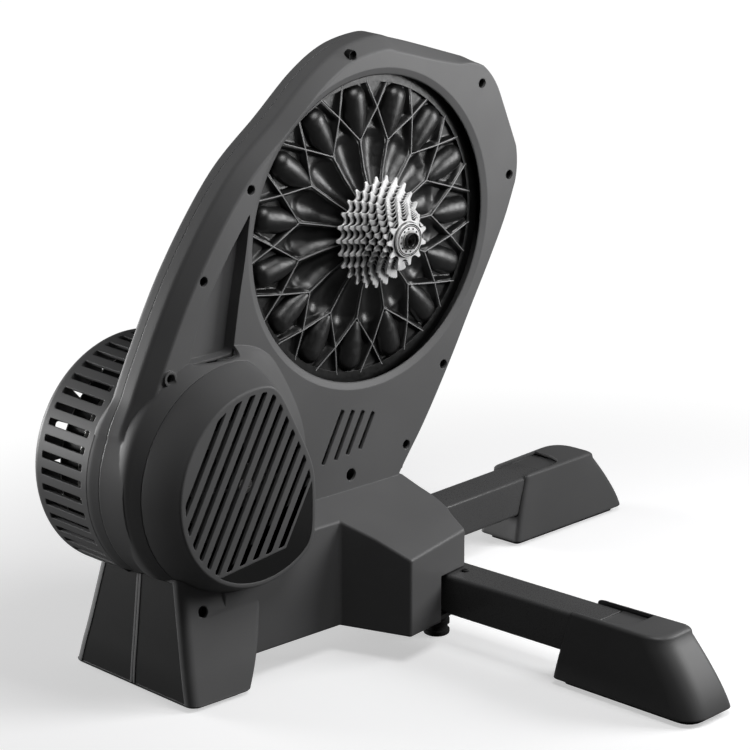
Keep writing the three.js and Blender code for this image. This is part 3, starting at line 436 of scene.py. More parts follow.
# Outline of the disc-shaped body, forward of and above the hub.
body = {
    "crown": (38, 174),
    "rearTop": [(18, 178.9), (-24, 173), (-62, 154), (-106, 119)],
    "rear": [(-163, 73), (-221, -3), (-266, -86), (-290, -142)],
    "front": [(37, -246), (70, -201), (103, -149), (131, -100), (155, -59), (176, -20), (190, 14)],
    "frontBend": (194.5, 30),
    "frontTop": [(191, 50), (179, 79), (169, 103)],
    "topBend": (158, 130),
    "top": [(132, 143), (67, 165)],
    "bottom": [(-190, -290), (10, -290)],
    "lowerRadius": 105,
    "lowerArc": (0.85, 1.5),
    "rightFace": -11,
    "slopeStart": 5,
    "slopeWidth": 11,
    "slopeBlend": 3,
    "innerSlope": 6.5,
    "topSlope": 0.6,
    "roundStart": 0.4,
    "fadeNear": 0.3,
    "fadeFar": 4.5,
    "swell": 4,
    "swellDepth": 40,
    "swellPower": 0.9,
    "wallRows": (17, 14, 11),
    "flare": 6,
    "flareStart": 0.67,
    "leftRows": [(0, 0.74, 23), (0, 0.82, 26), (0, 0.9, 29), (0.3, 0.93, 30.4), (1.2, 0.96, 31.8)],
    "leftEdge": [(3.4, 0.98, 34), (4.6, 0.98, 35.3), (5.8, 0.98, 36)],
    "edgeRound": 1.6,
    "points": 420,
}


def bodyOutline():
    angle = np.linspace(*(math.pi * halfTurns for halfTurns in body["lowerArc"]), 40)
    radius = body["lowerRadius"]
    arc = np.stack([flyX + radius * np.cos(angle), flyZ - hubZ + radius * np.sin(angle)], 1)
    parts = [
        spline([body["crown"], *body["rearTop"], *body["rear"]], 16),
        arc,
        np.array(body["bottom"], float),
        spline([body["bottom"][1], *body["front"]], 16)[1:],
        bend(body["front"][-1], body["frontBend"], body["frontTop"][0], 10)[1:],
        spline(body["frontTop"], 10)[1:],
        bend(body["frontTop"][-1], body["topBend"], body["top"][0], 16)[1:],
        spline([body["top"][0], body["top"][1], body["crown"]], 12)[1:-1],
    ]
    return evenly(np.concatenate(parts), body["points"])


outline = bodyOutline()


def smooth(values, low, high):
    t = np.clip((values - low) / (high - low), 0, 1)
    return t * t * (3 - 2 * t)


# The slope round the face dies out past the top front bend.
side = smooth(outline[:, 0], body["top"][1][0], body["topBend"][0] + body["slopeWidth"])
slope = 1 - side * np.where(outline[:, 1] < body["topBend"][1], 1, body["topSlope"])
slope[(outline[:, 0] > 0) & (outline[:, 1] < body["top"][0][1])] = 0
slope = np.convolve(np.concatenate([slope[-4:], slope, slope[:4]]), np.ones(9) / 9, "valid")
away = np.hypot(outline[:, 0] - flyX, outline[:, 1] - flyZ + hubZ)
lower = body["lowerRadius"]
roundDrum = 1 - smooth(away, lower + body["roundStart"], lower + body["slopeWidth"])
slope *= smooth(away, lower + body["fadeNear"], lower + body["fadeFar"])


def bodyRing(distance, y):
    return lifted(inset(outline, distance) + (0, hubZ), "y", y)


# The side wall swells towards the drum where the outline runs round it.
def drumOut(y):
    share = max(0, seamY - y) / body["swellDepth"]
    return body["swell"] * (1 - share ** body["swellPower"]) * roundDrum


def rightDisc():
    face, start, width, radius = body["rightFace"], body["slopeStart"], body["slopeWidth"], body["edgeRound"]
    blend = body["slopeBlend"]
    rings = [bodyRing(-drumOut(y), y) for y in (seamY - seamGap / 2, *body["wallRows"])]
    for t in np.linspace(0, 1, 5):
        y = start + blend - 2 * blend * t
        rings.append(bodyRing(width * blend / (start - face) * t * t * slope - drumOut(y), y))
    for rise, fall in quarter(6):
        y = face + radius * (1 - rise)
        back = width * (start - y) / (start - face) * slope + radius * (1 - fall)
        rings.append(bodyRing(back - drumOut(y), y))
    return loft("right_disc", rings)


# Rows from the seam to the left face: inwards, share of the flare round the drum, y.
def leftDisc(margin=0.0):
    rings = []
    for back, out, y in [(0, body["flareStart"], seamY + seamGap / 2), *body["leftRows"], *body["leftEdge"]]:
        distance = back * (1 - roundDrum) - body["flare"] * out * roundDrum
        rings.append(bodyRing(distance + margin, y - margin * (1 if y > 30 else 0.1)))
    return loft("left_disc", rings)


# The dome over the brake. Rows are y, middle forward of and above the flywheel's axis, radius, and the
# reach of its front flat and of its slanting one.
dome = {
    "slant": 27.3,
    "power": 16,
    "points": 240,
    "face": (-68, 6, 0.5, 91.6, 64.5, 59),
    "edge": (-66, 6, 0.5, 94.2, 67, 61.5),
    "parting": (-27, 9, -0.5, 108.5, 76, 73),
    "bulge": 0.9,
    "foot": [
        (-17, 10.4, 0.5, 113.6, 88, 86),
        (-9.5, 10.8, 1.5, 116.4, 106, 104),
        (0, 11.4, 1.5, 117.2, 112, 110),
        (10, 8, 0.8, 113, 106, 104),
    ],
}


def domeReach(row, margin, angle):
    _, _, _, radius, front, slant = row
    ahead = np.maximum(np.cos(angle), 0) / (front - margin)
    across = np.maximum(np.cos(angle - math.radians(dome["slant"])), 0) / (slant - margin)
    power = dome["power"]
    return ((1 / (radius - margin)) ** power + ahead**power + across**power) ** (-1 / power)


def domeRing(row, margin=0.0, y=None):
    angle = np.linspace(0, 2 * math.pi, dome["points"], endpoint=False)
    reach = domeReach(row, margin, angle)
    flatRing = np.stack([flyX + row[1] + reach * np.cos(angle), flyZ + row[2] + reach * np.sin(angle)], 1)
    return lifted(flatRing, "y", row[0] if y is None else y)


def capRows():
    face, edge, parting = (np.array(dome[k], float) for k in ("face", "edge", "parting"))
    rows = []
    for rise, fall in quarter(6):
        row = face + (edge - face) * rise
        row[0] = face[0] + (edge[0] - face[0]) * (1 - fall)
        rows.append(row)
    for t in np.linspace(0, 1, 9)[1:]:
        row = edge + (parting - edge) * t
        row[3:] += dome["bulge"] * math.sin(math.pi * t)
        rows.append(row)
    return rows


# The slots in the cap's face, their slant, and the bare label field under them.
cover = {
    "width": 6,
    "pitch": 12.75,
    "count": 12,
    "angle": 60.7,
    "margin": 3.2,
    "shift": 18.5,
    "shortest": 8,
    "corner": 2.1,
    "gap": 0.4,
    "fit": 0.35,
    "innerRows": (-27.4, -20),
    "mouth": (-30, -26),
    "reach": 4,
    "search": (-100, 100, 0.25),
    "labelLeft": (-249, 121.7),
    "labelRight": (-143, 134),
    "labelAcross": -57.5,
    "labelTurn": -2,
    "labelBorder": 2.2,
    "labelPoints": 721,
    "labelSunk": 0.5,
    "labelReach": 3,
    "plate": (-0.25, 0.6),
}


def ventCap():
    rows = capRows()
    face = dome["face"]
    last = domeRing(rows[-1], cover["fit"], rows[-1][0] - cover["gap"])
    cap = loft("vent_cap", [domeRing(row) for row in rows[:-1]] + [last])
    inner = [domeRing(dome["edge"], wall, face[0] + wall)]
    inner += [domeRing(dome["parting"], wall, y) for y in cover["innerRows"]]
    cut(cap, loft("inner", inner))
    middle = np.array([flyX + face[1], flyZ + face[2]])
    along, across = compass(math.radians(cover["angle"]))
    left, right = np.array(cover["labelLeft"], float), np.array(cover["labelRight"], float)
    ground = (right - left) / np.linalg.norm(right - left)
    upward = np.array([-ground[1], ground[0]])
    border = cover["labelBorder"]

    def rise(p):
        return (p[0] - left[0]) * upward[0] + (p[1] - left[1]) * upward[1]

    def inside(p):
        d = p - middle
        return rise(p) > border and np.hypot(*d) < domeReach(face, cover["margin"], math.atan2(d[1], d[0]))

    slots = []
    for i in range(cover["count"]):
        offset = (i - (cover["count"] - 1) / 2) * cover["pitch"] + cover["shift"]
        ends = []
        for edge in (-1, 1):
            start = middle + across * (offset + edge * cover["width"] / 2)
            held = [s for s in np.arange(*cover["search"]) if inside(start + along * s)]
            if held:
                ends.append([start + along * held[0], start + along * held[-1]])
        if len(ends) == 2 and np.linalg.norm(ends[0][0] - ends[0][1]) >= cover["shortest"]:
            shape = rounded([(*c, cover["corner"]) for c in (*ends[0], *ends[1][::-1])])
            slots.append(slab("slot", shape, "y", face[0] - cover["reach"], face[0] + wall + 1))
    cut(cap, together("slots", *slots))

    field = []
    for a in np.linspace(-math.pi, math.pi, cover["labelPoints"]):
        p = middle + domeReach(face, border, a) * compass(a)[0]
        if rise(p) < 0 or ((p - middle) @ across < cover["labelAcross"] and a > cover["labelTurn"]):
            field.append(p)
    # the inner corner, where the field's top meets its strip beside the last slot
    base = middle + across * cover["labelAcross"]
    field.append(base + along * (((left - base) @ upward) / (along @ upward)))
    field = np.array(field)
    floor = face[0] + cover["labelSunk"]
    cut(cap, slab("field", field, "y", face[0] - cover["labelReach"], floor))
    low, high = cover["plate"]
    return cap, slab("cap_label_field", inset(field, cover["fit"]), "y", floor + low, floor + high)


# Plinth: (height, rear, front, half width) from the floor up.
plinth = {
    "rows": [(3, -272, -200, 85), (26, -270, -188, 79), (52, -267, -178, 72), (118, -260, -160, 56)],
    "rearCorner": 10,
    "frontCorner": 7,
    "hole": (-240, 84),
    "holeRadius": 5.6,
    "holeDepth": (-70, -36),
    "footRound": 2.5,
    "innerFoot": 6,
    "panelSeam": 3.2,
    "panelSide": 10.5,
    "panelTop": 112,
    "panelFoot": 5.5,
    "panelRoom": (0.9, -8),
    "panelFit": 0.35,
    "panelDepth": (2.6, 0.45),
}
plinthRows = spline(plinth["rows"], 8)


def plinthRing(row, margin=0.0):
    z, rear, front, half = row
    rear, front, low, high = rear + margin, front - margin, seamY - half + margin, seamY + half - margin
    c0, c1 = plinth["rearCorner"], plinth["frontCorner"]
    corners = [(rear, low, c0), (front, low, c1), (front, high, c1), (rear, high, c0)]
    return lifted(rounded(corners, 8), "z", z)


def plinthSolid(margin=0.0):
    foot = plinthRows[0]
    if margin:
        low = plinth["innerFoot"]
        rows = [(low, *foot[1:])] + [row for row in plinthRows if row[0] > low + 2]
        return loft("plinth_inner", [plinthRing(row, margin) for row in rows])
    radius = plinth["footRound"]
    rings = []
    for rise, fall in quarter(5):
        rings.append(plinthRing((foot[0] + radius * (1 - fall), *foot[1:]), radius * (1 - rise)))
    return loft("plinth", rings + [plinthRing(row) for row in plinthRows[1:]])


# Beam and hood from above, from the rear to the nose, outwards from the seam; and the roof over them.
beam = {
    "bottom": 26,
    "half": [(-215, 65), (-73, 65), (-46, 133), (38.5, 118.5), (41, 98)],
    "nose": [(44.8, 88), (45.6, 77), (45.1, 65.5), (42.8, 52), (40, 28)],
    "inner": [(-212, 62), (-71, 62), (-43, 130), (35.5, 115.5), (42.6, 77), (37, 28)],
    "roof": [(31, 142), (99, 118), (140, 99)],
    "roofLength": (-240, 60),
    "top": 300,
    "round": 5,
    "leftReach": 132,
}
legs = {
    "pivotX": 22.8,
    "pivotOut": 27,
    "angle": {"right": -85.3, "left": 4.2},
    "half": 20,
    "bottom": 31.3,
    "top": 70.6,
    "length": 272,
    "corner": 4,
    "endRound": 19,
    "thickness": 2.5,
    "bolt": 6.8,
    "pin": 3.6,
    "detent": 99,
    "nub": [(0, -5), (3.2, -5), (3.2, 0.6), (2.7, 1.5), (1.6, 2), (0, 2)],
    "room": 1.6,
    "roomTop": 2.4,
    "roomFoot": -5,
    "roomTaper": 0.8,
    "roomFront": 100,
    "roomOut": 140,
}


def beamSolid(margin=0.0):
    half = beam["inner"] if margin else beam["half"] + beam["nose"]
    right = [(x, seamY - out) for x, out in half]
    left = [(x, seamY + min(out, beam["leftReach"])) for x, out in reversed(half)]
    column = slab("beam", right + left, "z", 0 if margin else beam["bottom"], beam["top"])
    roof = [(seamY - out, z - margin) for out, z in reversed(beam["roof"])]
    roof += [(seamY + out, z - margin) for out, z in beam["roof"]]
    roof += [(seamY + beam["roof"][-1][0], -5), (seamY - beam["roof"][-1][0], -5)]
    boolean(column, "INTERSECT", slab("roof", roof, "x", *beam["roofLength"]))
    if not margin:
        soften(column, beam["round"], 4, 15)
    return column


def legRoom(sign):
    half = legs["half"] + legs["room"]
    y = seamY + sign * legs["pivotOut"]
    low, front, far = legs["pivotX"] - half, legs["roomFront"], seamY + sign * legs["roomOut"]
    near = y - sign * half
    corners = [(low, near), (front, near), (front, far), (low - legs["roomTaper"], far)]
    return slab("leg_room", corners, "z", legs["roomFoot"], legs["top"] + legs["roomTop"])


# Recesses, vents, keyhole and the pocket behind the rail, forward of and above the hub.
marks = {
    "frontScrews": [(-21, 167.5), (143, 117.5), (181, 22.5), (94, -149.5), (45, -219.5)],
    "rearScrews": [(-148, 63.5), (-205, -10.5), (-247, -91.5)],
    "screwRadius": 4.6,
    "screwDepth": 9,
    "boss": (-247, -91.5),
    "bossRadius": 7,
    "bossFront": -13.6,
    "keyhole": (-27, -233),
    "keyholeRadius": 6,
    "ventTops": [(-37, -167), (-24, -170), (-11, -173), (2, -177)],
    "ventBottoms": [(-63, -215), (-47, -214), (-32, -212), (-16, -210)],
    "ventWidth": 5,
    "ventCorner": 1.3,
    "pocketRear": [(-149, 43), (-175, 9), (-198, -24), (-213, -52), (-224, -84)],
    "pocketFront": [(-172, -84), (-164, -37), (-156, 1)],
    "pocketFloor": 2.5,
    "pocketTop": -9.5,
    "pocketCorner": 5,
    "pocketMouth": -40,
    "postWall": 2.4,
    "postSunk": 0.1,
    "faceBack": -3,
    "reach": 5,
    "inlet": (-3.4, -241),  # y, and z above the hub
    "inletRadius": 4.6,
    "inletDepth": (20, 60),
    "hubHole": 12.8,
    "drumHole": 92,
    "leftCut": (15, 60),
    "opening": 140.8,
    "chamfer": 151.9,
    "chamferDepth": 4.7,
    "lip": (0.5, 0.3),
    "heel": (0.8, 0.3, 0.5),
    "ledge": 0.4,
    "undercut": 2.2,
    "openingBack": 19,
}
marks["screws"] = marks["frontScrews"] + marks["rearScrews"]

# The bright cross-head screw at the front of each hood, and the hole that it sits in.
hoodScrew = {
    "x": 36.6,
    "out": 110.9,
    "z": 84.1,
    "hole": 4.9,
    "depth": (33.8, 60),
    "head": 3.9,
    "rounding": [(0.6, 0.25), (0.9, 0.8), (1, 1.6), (1, 2.6)],
    "slot": 0.75,
    "slotLength": 0.62,
    "slotDepth": 1.4,
}
# A box larger than the housings, which the seam splits between them.
around = {"x": (-400, 300), "y": (-200, 260), "z": (-10, 700)}


def along(places, radius, y0, y1, steps=40):
    rings = [circle(radius, (x, z + hubZ), steps) for x, z in places]
    return together("holes", *[slab("hole", ring, "y", y0, y1) for ring in rings])


def hoodHole(sign):
    middle = (seamY + sign * hoodScrew["out"], hoodScrew["z"])
    return slab("hood_hole", circle(hoodScrew["hole"], middle, 32), "x", *hoodScrew["depth"])


def sideShell(side):
    sign, right = signs[side], side == "right"
    split = seamY + sign * seamGap / 2
    low, high = around["y"]
    half = block("half", *around["x"], *((low, split) if right else (split, high)), *around["z"])
    base = plinthSolid()
    unite(base, beamSolid())
    boolean(base, "INTERSECT", half)
    shell = unite(rightDisc() if right else leftDisc(), base)
    hollow = plinthSolid(wall)
    unite(hollow, beamSolid(wall))
    if right:
        edge = wall + body["slopeWidth"] * slope
        rings = [bodyRing(wall, seamY + 1), bodyRing(wall, body["innerSlope"])]
        inner = loft("inner", [*rings, bodyRing(edge, body["rightFace"] + wall)])
        foot = [dome["parting"], *dome["foot"]]
        unite(shell, loft("dome_foot", [domeRing(row) for row in spline(foot, 8)]))
        unite(hollow, loft("dome_inner", [domeRing(row, wall) for row in foot]))
    else:
        inner = leftDisc(wall)
    unite(hollow, inner)
    cut(shell, hollow, legRoom(sign))
    y, z = marks["inlet"]
    cut(shell, slab("inlet", circle(marks["inletRadius"], (y, hubZ + z), 24), "x", *marks["inletDepth"]))
    shell.name = side + "_housing"
    return shell


def rightShell():
    shell = sideShell("right")
    face, back, hub = body["rightFace"], marks["faceBack"], (0, hubZ)
    front = face - marks["reach"]
    mouth = loft("mouth", [domeRing(dome["parting"], wall, y) for y in cover["mouth"]])
    cut(shell, mouth, loft("cap_tool", [domeRing(row, -cover["gap"]) for row in capRows()]))
    rim, edge, depth, under = marks["opening"], marks["chamfer"], marks["chamferDepth"], marks["undercut"]
    (lip, lipDepth), (heel, heelRise, heelFall) = marks["lip"], marks["heel"]
    profile = [(0, front), (edge + lip, front), (edge + lip, face), (edge - lip, face + lipDepth)]
    profile += [(rim + heel, face + depth - heelRise), (rim, face + depth + heelFall), (rim, back)]
    profile += [(rim + under, back + marks["ledge"])]
    profile += [(rim + under, marks["openingBack"]), (0, marks["openingBack"])]
    cut(shell, turned("opening", profile, hub, 220))
    radius = marks["screwRadius"]
    postFace = face + marks["postSunk"]
    posts = along(marks["screws"], radius + marks["postWall"], postFace, seamY - seamGap, 24)
    unite(shell, boolean(posts, "INTERSECT", rightDisc()))
    unite(shell, along([marks["boss"]], marks["bossRadius"], marks["bossFront"], 8))
    holes = along(marks["screws"], radius, front - marks["reach"], face + marks["screwDepth"])
    keyhole = along([marks["keyhole"]], marks["keyholeRadius"], front, back)
    vents = []
    for top, bottom in zip(marks["ventTops"], marks["ventBottoms"]):
        a, b = np.array(top, float), np.array(bottom, float)
        across = np.array([-(b - a)[1], (b - a)[0]]) / np.linalg.norm(b - a) * marks["ventWidth"] / 2
        corners = (a + across, a - across, b - across, b + across)
        shape = rounded([(*(p + hub), marks["ventCorner"]) for p in corners], 5)
        vents.append(slab("vent", shape, "y", front, back))
    cut(shell, holes, keyhole, together("vents", *vents))
    outer = np.array(marks["pocketRear"] + marks["pocketFront"], float) + hub
    floor = marks["pocketFloor"]
    unite(shell, slab("pocket_box", inset(outer, -wall), "y", marks["pocketTop"], floor + wall))
    outline = rounded([(x, z, marks["pocketCorner"]) for x, z in outer], 5)
    cut(shell, slab("pocket", outline, "y", marks["pocketMouth"], floor))
    cut(shell, hoodHole(-1))
    ring = circle(plinth["holeRadius"], plinth["hole"], 40)
    cut(shell, slab("side_hole", ring, "y", *plinth["holeDepth"]))
    return shell


def plinthPanel(sign, depth, lift, spread, name):
    rings = []
    for z in np.linspace(plinth["panelFoot"] + 2 * spread, plinth["panelTop"] - 2 * spread, 18):
        rear, half = (np.interp(z, plinthRows[:, 0], plinthRows[:, k]) for k in (1, 3))
        low = seamY + sign * (plinth["panelSeam"] + spread)
        high = seamY + sign * (half - plinth["panelSide"] - spread)
        ring = [(rear + lift, low), (rear + lift, high), (rear + depth, high), (rear + depth, low)]
        rings.append(lifted(ring, "z", z))
    return loft(name, rings)


def housings():
    right = rightShell()
    cut(right, plinthPanel(-1, *plinth["panelRoom"], 0, "panel_room"))
    dress(right, "shell", "housing", "shell_plastic", "right_shell")
    print("right half done:", len(right.data.polygons), "faces")
    left = sideShell("left")
    cut(left, hoodHole(1))
    for radius, middle, steps in ((marks["hubHole"], (0, hubZ), 64), (marks["drumHole"], (flyX, flyZ), 120)):
        cut(left, slab("hole", circle(radius, middle, steps), "y", *marks["leftCut"]))
    cut(left, plinthPanel(1, *plinth["panelRoom"], 0, "panel_room"))
    dress(left, "shell", "housing", "shell_plastic", "left_shell")
    print("left half done:", len(left.data.polygons), "faces")
    spread = plinth["panelFit"]
    for side, sign in signs.items():
        panel = plinthPanel(sign, *plinth["panelDepth"], spread, side + "_plinth_panel")
        dress(panel, "label", "housing", "black_plastic")
    cap, field = ventCap()
    dress(cap, "shell", "housing", "shell_plastic", "vent_cover")
    dress(field, "label", "housing", "black_plastic")
    print("cap done:", len(cap.data.polygons), "faces")


housings()

# Drum over the flywheel.
drum = {
    "radius": 111,
    "from": 35.2,
    "end": 115,
    "edge": 9,
    "dish": 32,
    "dishDepth": 1.2,
    "slots": 45,
    "phase": 2.8,
    "slotWidth": 6.4,
    "slotFrom": 43,
    "slotTo": 100,
    "slotCorner": 1.6,
    "faceSlots": 15,
    "faceFrom": 44,
    "faceTo": 92,
    "faceCorner": 3,
    "faceCut": 8,
    "reach": 5,
    "past": 6,
}


def drumCover():
    outer, edge, end = drum["radius"], drum["edge"], drum["end"]
    corner = [(outer - edge + edge * c, end - edge + edge * s) for s, c in quarter(8)]
    inner, dish, floor = outer - wall, drum["dish"], end - drum["dishDepth"]
    back = end - wall - drum["dishDepth"]
    profile = [(inner, drum["from"]), (outer, drum["from"]), *corner, (dish + 2, end), (dish, floor)]
    profile += [(0, floor), (0, back), (dish - 2, back), (inner - edge, end - wall)]
    profile += [(inner - 1, end - wall - edge + 1)]
    shell = turned("drum_shell", profile, (flyX, flyZ), 216)
    slots = []
    half = drum["slotWidth"] / 2
    shape = oblong(-half, half, drum["slotFrom"], drum["slotTo"], drum["slotCorner"], 4)
    for i in range(drum["slots"]):
        out, tangent = compass(math.radians(i * 360 / drum["slots"] + drum["phase"]))
        rings = []
        for r in (inner - drum["past"], outer + drum["past"]):
            flatPoints = out * r + shape[:, :1] * tangent + (flyX, flyZ)
            rings.append(np.stack([flatPoints[:, 0], shape[:, 1], flatPoints[:, 1]], 1))
        slots.append(loft("slot", rings))
    shape = oblong(drum["faceFrom"], drum["faceTo"], -half, half, drum["faceCorner"])
    for i in range(drum["faceSlots"]):
        out, tangent = compass(math.radians((i + 0.5) * 360 / drum["faceSlots"]))
        points = shape[:, :1] * out + shape[:, 1:] * tangent + (flyX, flyZ)
        slots.append(slab("slot", points, "y", end - drum["faceCut"], end + drum["reach"]))
    cut(shell, together("slots", *slots))
    return dress(shell, "shell", "housing", "shell_plastic", "drum_cover")


drumCover()


# The flywheel: a dark band between bright turned edges, on a web with holes. The dark band is partly the
# rim's dark paint and partly painted shade for the dark inside of the drum.
flywheel = {
    "radius": 98,
    "middle": 76,
    "width": 30,
    "rim": 20,
    "web": 10,
    "bore": 8,
    "hub": 24,
    "holes": 6,
    "holeRadius": 14,
    "edge": 1.6,
    "groove": 0.6,
    "lip": 1,
    "slope": 1.4,
    "bandInset": 1.5,
    "bandGap": 0.01,
    "bandSunk": 0.1,
}


def flywheelPieces():
    radius, middle, edge, bore, groove = map(flywheel.get, ("radius", "middle", "edge", "bore", "groove"))
    half, web, inner = flywheel["width"] / 2, flywheel["web"] / 2, radius - flywheel["rim"]
    low, high = middle - half, middle + half
    profile = [(bore, middle - web), (inner, middle - web), (inner, low), (radius - edge, low)]
    lip, slope, bandInset = flywheel["lip"], flywheel["slope"], flywheel["bandInset"]
    profile += [(radius, low + edge), (radius, low + edge + lip), (radius - groove, low + edge + slope)]
    profile += [(radius - groove, high - edge - slope), (radius, high - edge - lip), (radius, high - edge)]
    profile += [(radius - edge, high), (inner, high), (inner, middle + web), (bore, middle + web)]
    wheel = turned("flywheel_casting", profile, (flyX, flyZ), 180)
    ring = (inner + flywheel["hub"]) / 2
    holes = []
    for k in range(flywheel["holes"]):
        a = math.radians(360 / flywheel["holes"] * k)
        centre = (flyX + ring * math.cos(a), flyZ + ring * math.sin(a))
        holes.append(slab("hole", circle(flywheel["holeRadius"], centre, 40), "y", low, high))
    cut(wheel, together("holes", *holes))
    dress(wheel, "steel", "flywheel_rotor", "steel", "flywheel")
    low, high = low + edge + bandInset, high - edge - bandInset
    inside, outside = radius - groove + flywheel["bandGap"], radius - flywheel["bandSunk"]
    # The dark band: partly the rim's dark paint, partly painted shade.
    band = turned("flywheel_dark_band", oblong(inside, outside, low, high, 0), (flyX, flyZ), 180)
    dress(band, "inner", "flywheel_rotor", "steel")


flywheelPieces()
print("drum and flywheel done")

# The rosette pulley: spokes run out to forks, whose branches cross half-way and reach the rim.
# Scoops lie between the spokes, and a finger-shaped petal lies beyond each fork.
pulley = {
    "petals": 15,
    "phase": -4.4,
    "inner": 27,
    "fork": 85,
    "crossing": 113,
    "rim": 137,
    "rimTurn": 17.8,
    "ridge": [(27, -13), (58, -5), (85, -2), (113, -2), (137, 1.6)],
    "floor": 5,
    "land": 0.8,
    "scoopEnd": 95,
    "scoopWidth": 14.5,
    "scoopDepth": 8,
    "landEdge": (0.2, 1.6),
    "scoopRun": 40,
    "scoopTaper": 78,
    "scoopMargin": 2.2,
    "scoopShallow": 0.35,
    "kiteFlat": (84, 97),
    "kiteWall": (0.8, 4),
    "ridgeWall": (0.5, 4.2),
    "wire": 0.62,
    "belt": 149,
    "band": 141,
    "bore": 17.9,
    "back": 23,
    "web": 14,
    "floorBack": 9,
    "face": 1.2,
}
petal = {
    "start": 86,
    "end": 137.5,
    "halfWidth": 12.8,
    "stem": 0.42,
    "close": 0.76,
    "base": 6,
    "crest": [(86, -3), (95, -4.6), (108, -5.6), (120, -5.8), (134, -5.4)],
    "sections": 30,
    "around": 26,
    "span": (0.004, 0.999),
    "stemCurve": 0.75,
    "opens": 0.05,
    "arch": 0.9,
    "thin": 0.02,
    "skirt": 1.5,
}


def polar(r, degrees):
    return r * compass(math.radians(degrees))[0]


def segmentDistance(points, a, b):
    d = b - a
    t = np.clip(((points - a) @ d) / (d @ d), 0, 1)
    return np.linalg.norm(points - a - t[:, None] * d, axis=1)


def ridgeHeight(r):
    rows = np.array(pulley["ridge"], float)
    return np.interp(r, rows[:, 0], rows[:, 1])


# Height of the relief between two spokes, half a sector wide, with the fork's radius along x.
def reliefHeight(points, region, lines):
    r = np.linalg.norm(points, axis=1)
    gap = np.min([segmentDistance(points, *line) for line in lines], axis=0)
    level = ridgeHeight(r)
    if region == "kite":
        level += pulley["land"] * smooth(gap, *pulley["landEdge"])
        half = math.pi / pulley["petals"]
        turned = np.arctan2(points[:, 1], points[:, 0]) - half
        across, ahead = r * np.sin(turned), r * np.cos(turned)
        close = np.clip((ahead - pulley["inner"]) / pulley["scoopRun"], 0, 1)
        width = np.minimum(pulley["scoopWidth"], ahead * math.tan(half) - pulley["scoopMargin"])
        end = np.clip((ahead - pulley["scoopTaper"]) / (pulley["scoopEnd"] - pulley["scoopTaper"]), 0, 1)
        width = np.maximum(width * np.sqrt(np.clip(1 - end**2, 0, 1)), 1e-3)
        arch = np.clip(1 - (across / width) ** 2, 0, 1) ** 0.9
        deep = pulley["scoopShallow"] + (1 - pulley["scoopShallow"]) * close
        level += pulley["scoopDepth"] * deep * np.sqrt(np.clip(1 - end**4, 0, 1)) * arch
        flatShare = smooth(ahead, *pulley["kiteFlat"])
        return level + flatShare * smooth(gap, *pulley["kiteWall"]) * (pulley["floor"] - level)
    return level + (pulley["floor"] - level) * smooth(gap, *pulley["ridgeWall"])


def petalBody():
    rings = []
    thin, base, skirt = petal["thin"], petal["base"], petal["base"] + petal["skirt"]
    for s in np.linspace(*petal["span"], petal["sections"]):
        s = 0.5 - 0.5 * math.cos(math.pi * s)
        r = petal["start"] + (petal["end"] - petal["start"]) * s
        swell = petal["stem"] + (1 - petal["stem"]) * min(1, s / petal["stem"]) ** petal["stemCurve"]
        opening = math.sqrt(min(1, s / petal["opens"]))
        close = math.sqrt(max(0.0, 1 - (max(0.0, s - petal["close"]) / (1 - petal["close"])) ** 2)) * opening
        half = petal["halfWidth"] * swell * close + thin
        rows = np.array(petal["crest"], float)
        height = (base - np.interp(r, rows[:, 0], rows[:, 1])) * close + thin
        ring = []
        for q in np.linspace(0, math.pi, petal["around"]):
            ring.append((r, base - height * math.sin(q) ** petal["arch"], half * math.cos(q)))
        ring += [(r, skirt, -half), (r, skirt, half)]
        rings.append(np.array(ring))
    return rings


def turnedAbout(points, degrees):
    a = math.radians(degrees + pulley["phase"])
    r, y, t = np.asarray(points, float).T
    return np.stack([r * math.sin(a) + t * math.cos(a), y, hubZ + r * math.cos(a) - t * math.sin(a)], 1)


